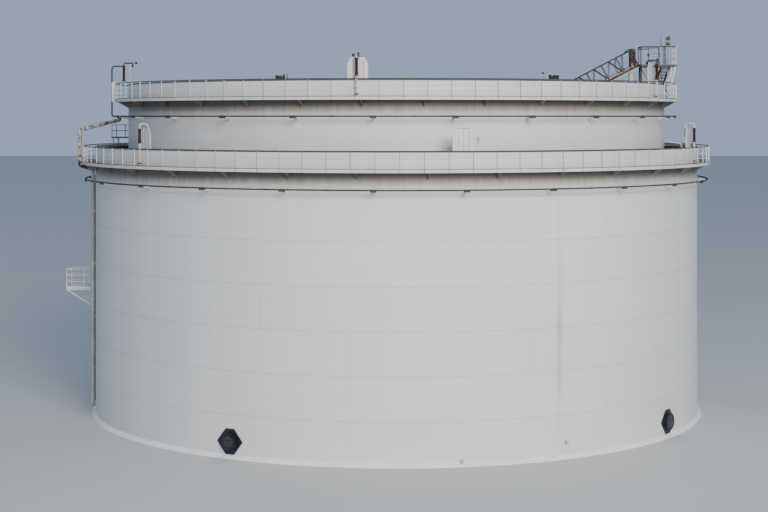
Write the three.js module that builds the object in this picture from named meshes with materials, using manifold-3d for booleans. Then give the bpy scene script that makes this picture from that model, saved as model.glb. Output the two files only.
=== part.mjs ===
// Vertical storage tank that stands in a cup: an inner tank with a floating roof, and round it
// a lower cup tank that would catch a leak. Each shell carries a walkway with a railing, a ring
// main under the walkway and foam units over the rim. A gauging platform stands on the inner rim,
// and a rolling ladder runs from it down to the floating roof.
// The real tank is 41.6 m wide over its lower walkway, so this is a 1:2 scale model.
// +Z is up, and the origin is the centre of the tank on the ground.
// Azimuth 0 is the front, -Y, and azimuths grow towards +X. All sizes below are real metres.
import * as THREE from 'three';
import { mergeVertices } from 'three/addons/utils/BufferGeometryUtils.js';
import Module from 'manifold-3d';

const wasm = await Module();
wasm.setup();

const MODEL_SCALE = 0.5;
const MM_PER_M = 1000;
// Real metres to model millimetres
const mm = (metres) => metres * MM_PER_M * MODEL_SCALE;
const GAP = 0.3 / (MM_PER_M * MODEL_SCALE);

// Both shells
const FACETS = 60;
const PLATE = 0.024;
const BOTTOM = 0.02;
const CUP_PARTS = 4;
const TANK_PARTS = 8;
const CUP_RADIUS = 20;
const CUP_TOP = 17.43;
const TANK_RADIUS = 17.88;
const TANK_TOP = 21.48;
const TANK_BOTTOM_EDGE = 0.06;
const SKIRT_FOOT = 0.236;
const SKIRT_HEIGHT = 0.22;
// How far fused pieces reach into each other, and how far a cutter runs past a face
const OVERLAP = 0.02;
const OVERRUN = 0.1;
const INSET = 0.01;

// Walkways
const FASCIA_PLATE = 0.02;
const DECK_PLATE = 0.04;
const FASCIA_BELOW = 0.11;
const FASCIA_ABOVE = 0.1;
const GUSSET_HEIGHT = 0.5;
const GUSSET_REACH = 0.72;
const GUSSET_PLATE = 0.024;
const GUSSETS = 32;
const GUSSET_AZIMUTH = 4.7;
const WALKWAY_PARTS = 4;
const LOWER = {
  name: 'lower', shell: CUP_RADIUS, top: CUP_TOP, outer: 20.788, deck: 16.4,
  bays: 48, postAzimuth: 0.15, pipeRadius: 20.66, pipeHeight: 15.33, bracketAzimuth: -3.9,
  boards: 1.3, tubeLow: 0.4,
};
const UPPER = {
  name: 'upper', shell: TANK_RADIUS, top: TANK_TOP, outer: 18.706, deck: 20.45,
  bays: 43, postAzimuth: 0.85, pipeRadius: 18.6, pipeHeight: 19.41, bracketAzimuth: -4.4,
  boards: 1.3, tubeLow: 0.25,
};

// Railings on the walkways
const POST = 0.05;
const POST_DEPTH = 0.04;
const RAIL_ABOVE = 0.08;
const RAIL = 0.05;
const RAILING_PARTS = 4;

// Ring mains
const MAIN_RADIUS = 0.05;
const MAIN_SIDES = 6;
const MAIN_BRACKETS = 25;
const BRACKET_PLATE = 0.03;
const BRACKET_DEPTH = 0.06;
const BRACKET_KNEE = 0.16;

// Foam units: azimuths in degrees, and what each unit is. A tube unit has a foam tube before its
// board, a low unit is the same with a low board, a plain unit is a board alone, and the outside
// unit is fed by a riser outside the railing.
const LOWER_FOAM = [
  [-49, 'tube'], [10.35, 'plain'], [66.6, 'tube'], [128, 'tube'], [190, 'tube'], [-110.5, 'tube'],
];
const UPPER_FOAM = [[-80, 'outside'], [-7.45, 'tube'], [63.5, 'tube'], [138.7, 'low'], [-151.5, 'low']];
const FOAM_OFFSET = 0.3;
const FOAM_PIPE = 0.065;
const FOAM_OUTSIDE = 18.95;
const FOAM_FEED = 1.21;
const FOAM_FLANGE = 0.12;
const FOAM_BOOT = 0.3;
const FOAM_TUBE = 0.09;
const FOAM_TUBE_DROP = 0.22;
const FOAM_SIDES = 8;
const FOAM_CROSSING = 1.42;
const FOAM_CROSSING_LOW = 1.15;
const HOOK_REACH = 0.06;
const HOOK_HEIGHT = 0.08;
const HOOK_SIDE = 0.4;
const FOAM_OUTLET_INSET = 0.22;
const FOAM_OUTLET_DROP = 0.25;
const FOAM_OUTLET_DROP_LOW = 0.8;
const FOAM_STAY = 0.05;
const FOAM_STAY_HEIGHT = 0.03;
const BOARD_WIDTH = 1.2;
const BOARD_LOW = 0.5;
const BOARD_PLATE = 0.03;
const BOARD_BELOW = 0.35;
const BOARD_CHAMFER = 0.22;
const BOARD_SHOULDER = 0.4;

// Supply pipe and riser at the left side
const SUPPLY_AZIMUTH = -88;
const SUPPLY_RADIUS = 20.39;
const SUPPLY_PIPE = 0.13;
const SUPPLY_TOP = 15.7;
const SUPPLY_CLAMP = 0.08;
const SUPPLY_CLAMPS = [2.5, 6, 9.5, 13];
const RISER_RADIUS = 21.26;
const RISER_PIPE = 0.12;
const RISER_NECK = 0.12;
const RISER_ELBOW = 16.12;
const RISER_TURN = 18.5;
const RISER_END = 19.17;
const SHOE_WIDTH = 0.4;
const SHOE_PLATE = 0.04;

// Side platform at the left
const SIDE_AZIMUTH = -93;
const SIDE_OUTER = 22.4;
const SIDE_WIDTH = 1.4;
const SIDE_FLOOR = 7.75;
const SIDE_SLAB = 0.14;
const SIDE_RAIL = 1.3;
const SIDE_BAR = 0.04;
const SIDE_BRACE_DROP = 1.5;
const SIDE_BRACE_DEPTH = 0.15;

// Platform that crosses the gap between the shells at the left
const CROSSING_AZIMUTH = -101;
const CROSSING_OUTER = 20.1;
const CROSSING_WIDTH = 1;
const CROSSING_FLOOR = 17.98;
const CROSSING_SLAB = 0.08;
const CROSSING_RAIL = 0.85;
const CROSSING_FOOT = 0.1;
const CROSSING_POSTS = [19.1, 19.95];

// Gauging platform, its stair and its posts
const GAUGE_AZIMUTH = 87;
const GAUGE_INNER = 16.35;
const GAUGE_OUTER = 18.7;
const GAUGE_WIDTH = 2.2;
const GAUGE_FLOOR = 22.85;
const GAUGE_SLAB = 0.14;
const GAUGE_RAIL = 1.22;
const GAUGE_LEG = 0.07;
const GAUGE_LEG_RADIUS = 18.42;
const ARM_PLATE = 0.05;
const ARM_DROP = 1;
const ARM_REACH = 0.2;
const ARM_TIP = 0.12;
const KNEE_DROP = 1.05;
const KNEE_WIDTH = 0.14;
const STAIR_STEPS = 11;
const STAIR_GOING = 0.27;
const STAIR_WIDTH = 0.54;
const STAIR_RADIUS = 18.25;
const STAIR_STRINGER = 0.07;
const STAIR_STRINGER_DEPTH = 0.2;
const STAIR_STRINGER_TOP = 0.1;
const STAIR_STRINGER_FOOT = 0.15;
const STAIR_BAR = 0.042;
const STAIR_RAIL_FOOT = 0.2;
const STAIR_POSTS = [0.02, 0.98];
const TREAD_PLATE = 0.04;
const TREAD_DEPTH = 0.24;
const STAIR_RAIL = 1.0;
const STAIR_INSET = 0.0255;

// Guide pole and the head of the level gauge
const POLE_RADIUS = 15.8;
const POLE_PIPE = 0.18;
const POLE_BELOW = 0.45;
const POLE_SIDES = 12;
const HEAD_POST = 0.05;
const HEAD_WIDTH = 0.6;
const HEAD_DEPTH = 0.4;
const HEAD_HEIGHT = 0.6;
const HEAD_LOW = 1.25;
const HEAD_RADIUS = 17.93;
const HEAD_SIDE = -0.6;

// Floating roof
const ROOF_PLATE = 0.04;
const ROOF_RADIUS = 17.6;
const PONTOON_INNER = 14.8;
const PONTOON_BELOW = 0.45;
const PONTOON_ABOVE = 0.4;
const PONTOON_RISE = 0.1;
const SEAL_LOW = 0.1;
const SEAL_HIGH = 0.42;
const POLE_SLEEVE = 0.01;

// Rolling ladder, from its hinge at the platform down to its track on the roof
const LADDER_LENGTH = 24;
const LADDER_WIDTH = 0.8;
const LADDER_SLOPE = 27.5;
const LADDER_STRINGER = 0.16;
const LADDER_BAR = 0.06;
const LADDER_SIDE = 1.1;
const LADDER_BAYS = 6;
const LADDER_WHEEL = 0.2;
const WHEEL_PLATE = 0.06;
const LADDER_HINGE = 16.25;
const LADDER_PASS = 0.15;
const TRACK_HEIGHT = 0.2;
const TRACK_WIDTH = 0.1;
const TRACK_TIES = 4;
const TRACK_TIE_HEIGHT = 0.1;
const TRACK_NEAR = 11;
const TRACK_FAR = 24.6;
const WHEEL_SIDES = 12;
const WHEEL_INSET = 0.01;
const LADDER_END = 0.7;
const LADDER_CHORD_END = 0.5;
const LADDER_GATE = 0.24;
const LADDER_GATE_TOP = 0.88;
const ROOF_DECK = GAUGE_FLOOR - LADDER_LENGTH * Math.sin(THREE.MathUtils.degToRad(LADDER_SLOPE))
  - LADDER_WHEEL * Math.cos(Math.PI / WHEEL_SIDES) - TRACK_HEIGHT - GAP;

// Manholes at the foot of the cup
const MANHOLE_AZIMUTHS = [-28.5, 54.7];
const MANHOLE_HEIGHT = 0.96;
const MANHOLE_PLATE = 0.05;
const MANHOLE_WIDTH = 1.7;
const MANHOLE_TALL = 1.46;
const MANHOLE_FLAT = 0.56;
const MANHOLE_NECK = 0.44;
const MANHOLE_REACH = 0.17;
const MANHOLE_COVER = 0.52;
const MANHOLE_COVER_DEPTH = 0.06;
const MANHOLE_SIDES = 16;

const radians = THREE.MathUtils.degToRad;
const facetShare = Math.cos(Math.PI / FACETS);

// The point at an azimuth, a radius and a height, moved sideways along the tangent
function at(azimuth, radius, height, side = 0) {
  const angle = radians(azimuth);
  return new THREE.Vector3(
    mm(radius * Math.sin(angle) + side * Math.cos(angle)),
    mm(side * Math.sin(angle) - radius * Math.cos(angle)),
    mm(height),
  );
}

// How far out a piece may start so that it just clears the shell's straight facets
function wallFace(radius, azimuth, half) {
  const facet = 360 / FACETS;
  const turn = radians(THREE.MathUtils.euclideanModulo(azimuth, facet) - facet / 2);
  return (radius * facetShare + half * Math.abs(Math.sin(turn))) / Math.cos(turn) + GAP;
}

// How far out a stub may start so that it just clears the straight facets of a ring main
function mainFace(ring, azimuth, stub) {
  const half = 180 / (2 * MAIN_BRACKETS);
  const turn = THREE.MathUtils.euclideanModulo(azimuth - ring.bracketAzimuth, 2 * half) - half;
  const middle = ring.pipeRadius * Math.cos(radians(half)) / Math.cos(radians(turn));
  return middle + MAIN_RADIUS * Math.cos(Math.PI / MAIN_SIDES) + stub * Math.tan(radians(Math.abs(turn))) + GAP;
}

function signedVolume(positions, faces) {
  const corner = (i) => new THREE.Vector3().fromArray(positions, i * 3);
  let sum = 0;
  for (const [a, b, c] of faces) {
    sum += corner(a).dot(corner(b).cross(corner(c)));
  }
  return sum / 6;
}

// A closed geometry from points and faces, with its faces pointing out
function closed(points, faces) {
  const positions = points.flatMap((point) => point.toArray());
  const outward = signedVolume(positions, faces) > 0;
  const index = faces.flatMap(([a, b, c]) => (outward ? [a, b, c] : [a, c, b]));
  const geometry = new THREE.BufferGeometry();
  geometry.setAttribute('position', new THREE.Float32BufferAttribute(positions, 3));
  geometry.setIndex(index);
  return geometry;
}

// The triangles that close an outline, all turned the same way
function capFaces(outline) {
  const twiceArea = ([a, b, c]) => (
    (outline[b].x - outline[a].x) * (outline[c].y - outline[a].y)
    - (outline[c].x - outline[a].x) * (outline[b].y - outline[a].y)
  );
  const faces = THREE.ShapeUtils.triangulateShape(outline, []);
  return faces.map((face) => (twiceArea(face) > 0 ? face : [face[0], face[2], face[1]]));
}

// A solid through a row of like sections; a ring joins its last section to its first
function loft(sections, outline, ring = false) {
  const size = sections[0].length;
  const count = sections.length;
  const faces = [];
  const spans = ring ? count : count - 1;
  for (let i = 0; i < spans; i += 1) {
    const here = i * size;
    const next = ((i + 1) % count) * size;
    for (let k = 0; k < size; k += 1) {
      const l = (k + 1) % size;
      faces.push([here + k, next + k, next + l], [here + k, next + l, here + l]);
    }
  }
  if (!ring) {
    const turned = THREE.ShapeUtils.area(outline) > 0 ? 1 : -1;
    const last = (count - 1) * size;
    for (const [a, b, c] of capFaces(outline)) {
      const [p, q] = turned > 0 ? [b, c] : [c, b];
      faces.push([a, p, q], [last + a, last + q, last + p]);
    }
  }
  return closed(sections.flat(), faces);
}

const flat = (pairs) => pairs.map(([x, y]) => new THREE.Vector2(x, y));
const box2 = (r0, r1, z0, z1) => [[r0, z0], [r1, z0], [r1, z1], [r0, z1]];

// A profile of radius and height pairs, turned about the tank's axis
function arc(profile, from, to, steps) {
  const ring = to - from >= 360;
  const sections = [];
  for (let i = 0; i < (ring ? steps : steps + 1); i += 1) {
    const azimuth = from + (to - from) * i / steps;
    sections.push(profile.map(([r, z]) => at(azimuth, r, z)));
  }
  return loft(sections, flat(profile), ring);
}

// A plate that stands on edge along a radius: its outline in radius and height pairs
function fin(azimuth, profile, thickness, side = 0) {
  const face = (s) => profile.map(([r, z]) => at(azimuth, r, z, s));
  return loft([face(side - thickness / 2), face(side + thickness / 2)], flat(profile));
}

// A pipe or bar of few sides through points, mitred where it turns
function rod(points, radius, sides, twist = 0) {
  const along = (i) => points[i + 1].clone().sub(points[i]).normalize();
  const first = along(0);
  const aside = Math.abs(first.z) > 0.9 ? new THREE.Vector3(1, 0, 0) : new THREE.Vector3(0, 0, 1);
  const u = aside.cross(first).normalize();
  const v = first.clone().cross(u);
  const outline = [];
  for (let k = 0; k < sides; k += 1) {
    const angle = 2 * Math.PI * (k + twist) / sides;
    outline.push(new THREE.Vector2(Math.cos(angle), Math.sin(angle)).multiplyScalar(mm(radius)));
  }
  let section = outline.map((p) => points[0].clone().addScaledVector(u, p.x).addScaledVector(v, p.y));
  const sections = [section];
  for (let i = 1; i < points.length; i += 1) {
    const into = along(i - 1);
    const out = i < points.length - 1 ? along(i) : into;
    const normal = into.clone().add(out).normalize();
    section = section.map((p) => {
      const reach = points[i].clone().sub(p).dot(normal) / into.dot(normal);
      return p.clone().addScaledVector(into, reach);
    });
    sections.push(section);
  }
  return loft(sections, outline);
}

// A square bar between two points, half a turn's share round so that its faces lie level
const bar = (from, to, width) => rod([from, to], width * Math.SQRT1_2, 4, 0.5);

function toManifold(geometry) {
  const bare = geometry.clone();
  bare.deleteAttribute('normal');
  bare.deleteAttribute('uv');
  const merged = mergeVertices(bare, 1e-4);
  return new wasm.Manifold(new wasm.Mesh({
    numProp: 3,
    vertProperties: Float32Array.from(merged.attributes.position.array),
    triVerts: Uint32Array.from(merged.index.array),
  }));
}

function fromManifold(solid) {
  const mesh = solid.getMesh();
  const geometry = new THREE.BufferGeometry();
  geometry.setAttribute('position', new THREE.BufferAttribute(mesh.vertProperties, 3));
  geometry.setIndex(new THREE.BufferAttribute(mesh.triVerts, 1));
  return geometry;
}

function fuse(geometries) {
  return fromManifold(geometries.map(toManifold).reduce((whole, piece) => whole.add(piece)));
}

function cut(geometry, tools) {
  return fromManifold(tools.map(toManifold).reduce((left, tool) => left.subtract(tool), toManifold(geometry)));
}

function disc(radius, low, high, sides = FACETS) {
  const geometry = new THREE.CylinderGeometry(mm(radius), mm(radius), mm(high - low), sides);
  geometry.rotateX(Math.PI / 2);
  geometry.translate(0, 0, mm((low + high) / 2));
  return geometry;
}

const paint = (color, roughness, metalness) => ({ color, roughness, metalness });
const WHITE = paint(0xdddcd8, 0.55, 0);
const PALE = paint(0xc9c8c2, 0.6, 0);
const GREY = paint(0x6f6d69, 0.6, 0.2);
const RUST = paint(0x6b4a3a, 0.85, 0.1);
const RED = paint(0x8c3a2c, 0.55, 0);
const DARK = paint(0x2e3034, 0.6, 0.1);
const STEEL = paint(0x8b9092, 0.5, 0.6);

const tank = new THREE.Group();

function add(name, geometry, look) {
  const mesh = new THREE.Mesh(geometry, new THREE.MeshStandardMaterial(look));
  mesh.name = name;
  tank.add(mesh);
}

// Foot of the tank: the cup's bottom, the skirt round it and the inner tank's own bottom
function makeFoot() {
  add('cup_bottom', disc(CUP_RADIUS, 0, BOTTOM), PALE);
  add('base_skirt', arc([
    [CUP_RADIUS + GAP, 0], [CUP_RADIUS + SKIRT_FOOT, 0], [CUP_RADIUS + GAP, SKIRT_HEIGHT],
  ], 0, 360, FACETS), WHITE);
  add('inner_bottom', disc(TANK_RADIUS + TANK_BOTTOM_EDGE, BOTTOM, 2 * BOTTOM), PALE);
}

// One shell in equal segments, whose ends lie on corners of the other rings' facets
function makeShell(name, parts, radius, low, top) {
  const facet = 360 / FACETS;
  const first = -90 / facet;
  const corner = (i) => (first + Math.round(i * FACETS / parts)) * facet;
  const profile = box2(radius - PLATE, radius, low, top);
  for (let i = 0; i < parts; i += 1) {
    const steps = (corner(i + 1) - corner(i)) / facet;
    add(`${name}_shell_${i + 1}`, arc(profile, corner(i), corner(i + 1), steps), WHITE);
  }
}

function makeWalkway(ring) {
  const { shell, outer, deck } = ring;
  const inside = outer - FASCIA_PLATE;
  const profile = [
    [shell + GAP, deck - DECK_PLATE], [inside, deck - DECK_PLATE], [inside, deck - FASCIA_BELOW],
    [outer, deck - FASCIA_BELOW], [outer, deck + FASCIA_ABOVE], [inside, deck + FASCIA_ABOVE],
    [inside, deck], [shell + GAP, deck],
  ];
  const span = 360 / WALKWAY_PARTS;
  const seam = THREE.MathUtils.radToDeg(GAP / outer);
  for (let part = 0; part < WALKWAY_PARTS; part += 1) {
    const from = -90 + part * span;
    const pieces = [arc(profile, from + seam, from + span - seam, FACETS / WALKWAY_PARTS)];
    for (let i = 0; i < GUSSETS; i += 1) {
      const azimuth = GUSSET_AZIMUTH + 360 * i / GUSSETS;
      const turn = THREE.MathUtils.euclideanModulo(azimuth - from, 360);
      if (turn < span) {
        const wall = wallFace(shell, azimuth, GUSSET_PLATE / 2);
        pieces.push(fin(azimuth, [
          [wall, deck - GUSSET_HEIGHT], [shell + GUSSET_REACH, deck - FASCIA_BELOW],
          [shell + GUSSET_REACH, deck - DECK_PLATE / 2], [shell + DECK_PLATE, deck - DECK_PLATE / 2],
          [wall, deck - DECK_PLATE - GAP],
        ], GUSSET_PLATE));
      }
    }
    add(`${ring.name}_walkway_${part + 1}`, fuse(pieces), WHITE);
  }
}

function makeRailing(ring) {
  const { bays, deck } = ring;
  const top = ring.top + RAIL_ABOVE;
  const outer = (ring.outer - FASCIA_PLATE) * facetShare - GAP;
  const step = 360 / bays;
  const short = THREE.MathUtils.radToDeg((POST / 2 + GAP) / outer);
  const rim = (RAIL - POST_DEPTH) / 2;
  let first = 0;
  for (let part = 0; part < RAILING_PARTS; part += 1) {
    const last = Math.round(bays * (part + 1) / RAILING_PARTS);
    const pieces = [];
    for (let i = first; i < last; i += 1) {
      const azimuth = ring.postAzimuth + i * step;
      const end = i === last - 1 ? azimuth + step - short : azimuth + step;
      pieces.push(fin(azimuth, box2(outer - RAIL + rim, outer - rim, deck + GAP, top - RAIL / 2), POST));
      pieces.push(arc(box2(outer - RAIL, outer, top - RAIL, top), azimuth, end, 1));
    }
    add(`${ring.name}_railing_${part + 1}`, fuse(pieces), WHITE);
    first = last;
  }
}

function makeRingMain(ring) {
  const { shell, pipeRadius, pipeHeight, bracketAzimuth } = ring;
  const profile = [];
  for (let k = 0; k < MAIN_SIDES; k += 1) {
    const angle = 2 * Math.PI * (k + 0.5) / MAIN_SIDES;
    profile.push([pipeRadius + MAIN_RADIUS * Math.cos(angle), pipeHeight + MAIN_RADIUS * Math.sin(angle)]);
  }
  const pieces = [arc(profile, bracketAzimuth, bracketAzimuth + 360, 2 * MAIN_BRACKETS)];
  const under = pipeHeight - MAIN_RADIUS / 2;
  for (let i = 0; i < MAIN_BRACKETS; i += 1) {
    const azimuth = bracketAzimuth + 360 * i / MAIN_BRACKETS;
    const wall = wallFace(shell, azimuth, BRACKET_PLATE / 2);
    pieces.push(fin(azimuth, [
      [wall, under - BRACKET_KNEE], [pipeRadius + MAIN_RADIUS, under - BRACKET_DEPTH],
      [pipeRadius + MAIN_RADIUS, under], [wall, under],
    ], BRACKET_PLATE));
  }
  add(`${ring.name}_ring_main`, fuse(pieces), GREY);
}

// A riser that stands on the deck, a foam tube at the rim, an outlet over the rim and its board
function makeFoamUnit(ring, number, [azimuth, kind]) {
  const radius = ring.shell + FOAM_OFFSET;
  const { shell, top, deck, pipeHeight, tubeLow } = ring;
  const low = kind === 'low';
  const boardFace = shell - PLATE - GAP;
  const half = BOARD_WIDTH / 2;
  const boardTop = top + (low ? BOARD_LOW : ring.boards);
  const shoulder = boardTop - BOARD_SHOULDER;
  const boardOutline = [
    [-half, top - BOARD_BELOW], [half, top - BOARD_BELOW], [half, shoulder],
    [half - BOARD_CHAMFER, boardTop], [BOARD_CHAMFER - half, boardTop], [-half, shoulder],
  ];
  const sagitta = boardFace * (1 - Math.cos(half / boardFace)) + boardFace * (1 - facetShare);
  const boardAt = boardFace - sagitta;
  const outlet = boardAt - FOAM_OUTLET_INSET;
  const face = (r) => boardOutline.map(([side, z]) => at(azimuth, r, z, side));
  const pieces = [loft([face(boardAt - BOARD_PLATE), face(boardAt)], flat(boardOutline))];
  if (kind === 'plain') {
    for (const side of [-HOOK_SIDE, HOOK_SIDE]) {
      pieces.push(fin(azimuth, box2(
        boardAt - BOARD_PLATE / 2, shell + HOOK_REACH, top + GAP, top + HOOK_HEIGHT,
      ), FOAM_STAY, side));
    }
  } else {
    const crossing = top + (low ? FOAM_CROSSING_LOW : FOAM_CROSSING);
    const end = crossing - (low ? FOAM_OUTLET_DROP_LOW : FOAM_OUTLET_DROP);
    const outside = kind === 'outside';
    const feed = top + FOAM_FEED;
    const foot = outside ? [
      at(azimuth, mainFace(ring, azimuth, FOAM_PIPE), pipeHeight), at(azimuth, FOAM_OUTSIDE, pipeHeight),
      at(azimuth, FOAM_OUTSIDE, feed), at(azimuth, radius, feed),
    ] : [at(azimuth, radius, deck + GAP)];
    pieces.push(rod([
      ...foot, at(azimuth, radius, crossing), at(azimuth, outlet, crossing), at(azimuth, outlet, end),
    ], FOAM_PIPE, FOAM_SIDES));
    if (!outside) {
      pieces.push(rod([at(azimuth, radius, deck + GAP), at(azimuth, radius, deck + FOAM_BOOT)],
        FOAM_FLANGE, FOAM_SIDES));
    }
    const tubeTop = outside ? feed : crossing - FOAM_TUBE_DROP;
    pieces.push(rod([at(azimuth, radius, top + tubeLow), at(azimuth, radius, tubeTop)], FOAM_TUBE, FOAM_SIDES));
    const stay = end + FOAM_STAY_HEIGHT;
    pieces.push(fin(azimuth, box2(outlet, boardAt - BOARD_PLATE / 2, stay, stay + FOAM_STAY), FOAM_STAY));
  }
  add(`${ring.name}_foam_unit_${number}`, fuse(pieces), kind === 'plain' ? WHITE : RED);
}

function makeSupply() {
  const pipe = rod([at(SUPPLY_AZIMUTH, SUPPLY_RADIUS, 0), at(SUPPLY_AZIMUTH, SUPPLY_RADIUS, SUPPLY_TOP)],
    SUPPLY_PIPE, FOAM_SIDES);
  const wall = wallFace(CUP_RADIUS, SUPPLY_AZIMUTH, SUPPLY_CLAMP / 2);
  const clamps = SUPPLY_CLAMPS.map((z) => fin(SUPPLY_AZIMUTH,
    box2(wall, SUPPLY_RADIUS, z, z + SUPPLY_CLAMP), SUPPLY_CLAMP));
  const shoe = fin(SUPPLY_AZIMUTH, box2(
    CUP_RADIUS + SKIRT_FOOT + GAP, SUPPLY_RADIUS + SHOE_WIDTH / 2, 0, SHOE_PLATE,
  ), SHOE_WIDTH);
  add('foam_supply_pipe', fuse([pipe, shoe, ...clamps]), PALE);
  const end = UPPER.pipeHeight - MAIN_RADIUS - GAP;
  const neck = SUPPLY_TOP + RISER_NECK;
  add('foam_riser', rod([
    at(SUPPLY_AZIMUTH, SUPPLY_RADIUS, SUPPLY_TOP + GAP), at(SUPPLY_AZIMUTH, SUPPLY_RADIUS, neck),
    at(SUPPLY_AZIMUTH, RISER_RADIUS, RISER_ELBOW), at(SUPPLY_AZIMUTH, RISER_RADIUS, RISER_TURN),
    at(SUPPLY_AZIMUTH, UPPER.pipeRadius, RISER_END), at(SUPPLY_AZIMUTH, UPPER.pipeRadius, end),
  ], RISER_PIPE, FOAM_SIDES), RUST);
}

function makeSidePlatform() {
  const inner = wallFace(CUP_RADIUS, SIDE_AZIMUTH, SIDE_WIDTH / 2);
  const half = SIDE_WIDTH / 2 - POST / 2;
  const low = SIDE_FLOOR - SIDE_SLAB;
  const levels = [SIDE_FLOOR + SIDE_RAIL - SIDE_BAR, SIDE_FLOOR + SIDE_RAIL / 2];
  const pieces = [fin(SIDE_AZIMUTH, box2(inner, SIDE_OUTER, low, SIDE_FLOOR), SIDE_WIDTH)];
  const posts = [];
  const top = SIDE_FLOOR + SIDE_RAIL;
  const rim = (POST - SIDE_BAR) / 2;
  for (const side of [-half, half]) {
    pieces.push(fin(SIDE_AZIMUTH, [
      [inner, low - SIDE_BRACE_DROP], [inner, low - SIDE_BRACE_DROP + SIDE_BRACE_DEPTH],
      [SIDE_OUTER - 2 * SIDE_BAR, low + OVERLAP], [SIDE_OUTER - OVERLAP, low + OVERLAP],
    ], SIDE_BAR, side));
    for (const r of [inner + POST, (inner + SIDE_OUTER) / 2, SIDE_OUTER - INSET]) {
      posts.push(fin(SIDE_AZIMUTH, box2(r - POST, r, SIDE_FLOOR - OVERLAP, top + INSET), POST, side));
    }
    for (const z of levels) {
      posts.push(fin(SIDE_AZIMUTH, box2(inner + INSET, SIDE_OUTER - OVERLAP, z, z + SIDE_BAR), SIDE_BAR, side));
    }
  }
  for (const z of levels) {
    const end = SIDE_OUTER - INSET - rim;
    posts.push(fin(SIDE_AZIMUTH, box2(end - SIDE_BAR, end, z, z + SIDE_BAR), 2 * half));
  }
  add('side_platform', fuse([...pieces, ...posts]), WHITE);
}

// A narrow floor from the cup's rim to the inner tank, with a rail along each side
function makeCrossing() {
  const half = CROSSING_WIDTH / 2 - POST / 2 - INSET;
  const inner = wallFace(TANK_RADIUS, CROSSING_AZIMUTH, CROSSING_WIDTH / 2);
  const low = CROSSING_FLOOR - CROSSING_SLAB;
  const top = CROSSING_FLOOR + CROSSING_RAIL;
  const pieces = [fin(CROSSING_AZIMUTH, box2(inner, CROSSING_OUTER, low, CROSSING_FLOOR), CROSSING_WIDTH)];
  for (const side of [-half, half]) {
    pieces.push(fin(CROSSING_AZIMUTH, box2(
      CUP_RADIUS - CROSSING_FOOT, CUP_RADIUS, CUP_TOP + GAP, low + OVERLAP,
    ), POST, side));
    for (const r of CROSSING_POSTS) {
      pieces.push(fin(CROSSING_AZIMUTH, box2(r - POST, r, CROSSING_FLOOR - OVERLAP, top + INSET), POST, side));
    }
    for (const z of [top - SIDE_BAR, CROSSING_FLOOR + CROSSING_RAIL / 2]) {
      const rail = box2(inner + INSET, CROSSING_OUTER - INSET, z, z + SIDE_BAR);
      pieces.push(fin(CROSSING_AZIMUTH, rail, SIDE_BAR, side));
    }
  }
  add('crossing_platform', fuse(pieces), GREY);
}

function makeGaugePlatform() {
  const low = GAUGE_FLOOR - GAUGE_SLAB;
  const half = GAUGE_WIDTH / 2;
  const legs = [-1, 1].map((end) => fin(GAUGE_AZIMUTH,
    box2(GAUGE_LEG_RADIUS - GAUGE_LEG, GAUGE_LEG_RADIUS, UPPER.deck + GAP, low + OVERLAP),
    GAUGE_LEG, end * (half - GAUGE_LEG)));
  const wall = Math.hypot((TANK_RADIUS - PLATE) * facetShare, half) - half * half / TANK_RADIUS - ARM_PLATE;
  const arms = [-1, 1].map((end) => fin(GAUGE_AZIMUTH, [
    [wall, TANK_TOP - ARM_DROP], [wall, low + OVERLAP],
    [GAUGE_INNER + ARM_REACH, low + OVERLAP], [GAUGE_INNER + ARM_REACH, low - ARM_TIP],
  ], ARM_PLATE, end * (half - GAUGE_LEG)));
  const knees = [-1, 1].map((end) => fin(GAUGE_AZIMUTH, [
    [GAUGE_LEG_RADIUS - INSET, low - KNEE_DROP - KNEE_WIDTH], [GAUGE_OUTER - INSET, low + OVERLAP],
    [GAUGE_OUTER - KNEE_WIDTH, low + OVERLAP], [GAUGE_LEG_RADIUS - INSET, low - KNEE_DROP],
  ], ARM_PLATE, end * (half - GAUGE_LEG)));
  const floor = fin(GAUGE_AZIMUTH, box2(GAUGE_INNER, GAUGE_OUTER, low, GAUGE_FLOOR), GAUGE_WIDTH);
  add('gauge_platform', fuse([floor, ...legs, ...arms, ...knees, ...gaugeRailing()]), WHITE);
}

// Posts and rails round the platform, open where the stair and the ladder come up
function gaugeRailing() {
  const bottom = GAUGE_FLOOR - GAUGE_SLAB / 2;
  const top = GAUGE_FLOOR + GAUGE_RAIL;
  const half = GAUGE_WIDTH / 2 - POST / 2 - INSET;
  const inner = GAUGE_INNER + INSET;
  const outer = GAUGE_OUTER - INSET;
  const rim = (POST - SIDE_BAR) / 2;
  const levels = [top - SIDE_BAR, GAUGE_FLOOR + GAUGE_RAIL / 2];
  const pieces = [];
  const post = (r, side) => pieces.push(fin(GAUGE_AZIMUTH, box2(r - POST, r, bottom, top + INSET), POST, side));
  const rails = (from, to, width, side) => {
    for (const z of levels) {
      pieces.push(fin(GAUGE_AZIMUTH, box2(from, to, z, z + SIDE_BAR), width, side));
    }
  };
  for (const side of [-half, half]) {
    const end = side > 0 ? STAIR_RADIUS - STAIR_WIDTH / 2 - LADDER_PASS : outer;
    post(inner + POST, side);
    post((inner + end) / 2, side);
    post(end, side);
    rails(inner + rim, end - rim, SIDE_BAR, side);
    const wing = half - LADDER_WIDTH / 2 - LADDER_PASS;
    rails(inner + rim, inner + rim + SIDE_BAR, wing, side - Math.sign(side) * wing / 2);
  }
  post(outer, 0);
  post(outer, half);
  rails(outer - rim - SIDE_BAR, outer - rim, 2 * half, 0);
  return pieces;
}

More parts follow.
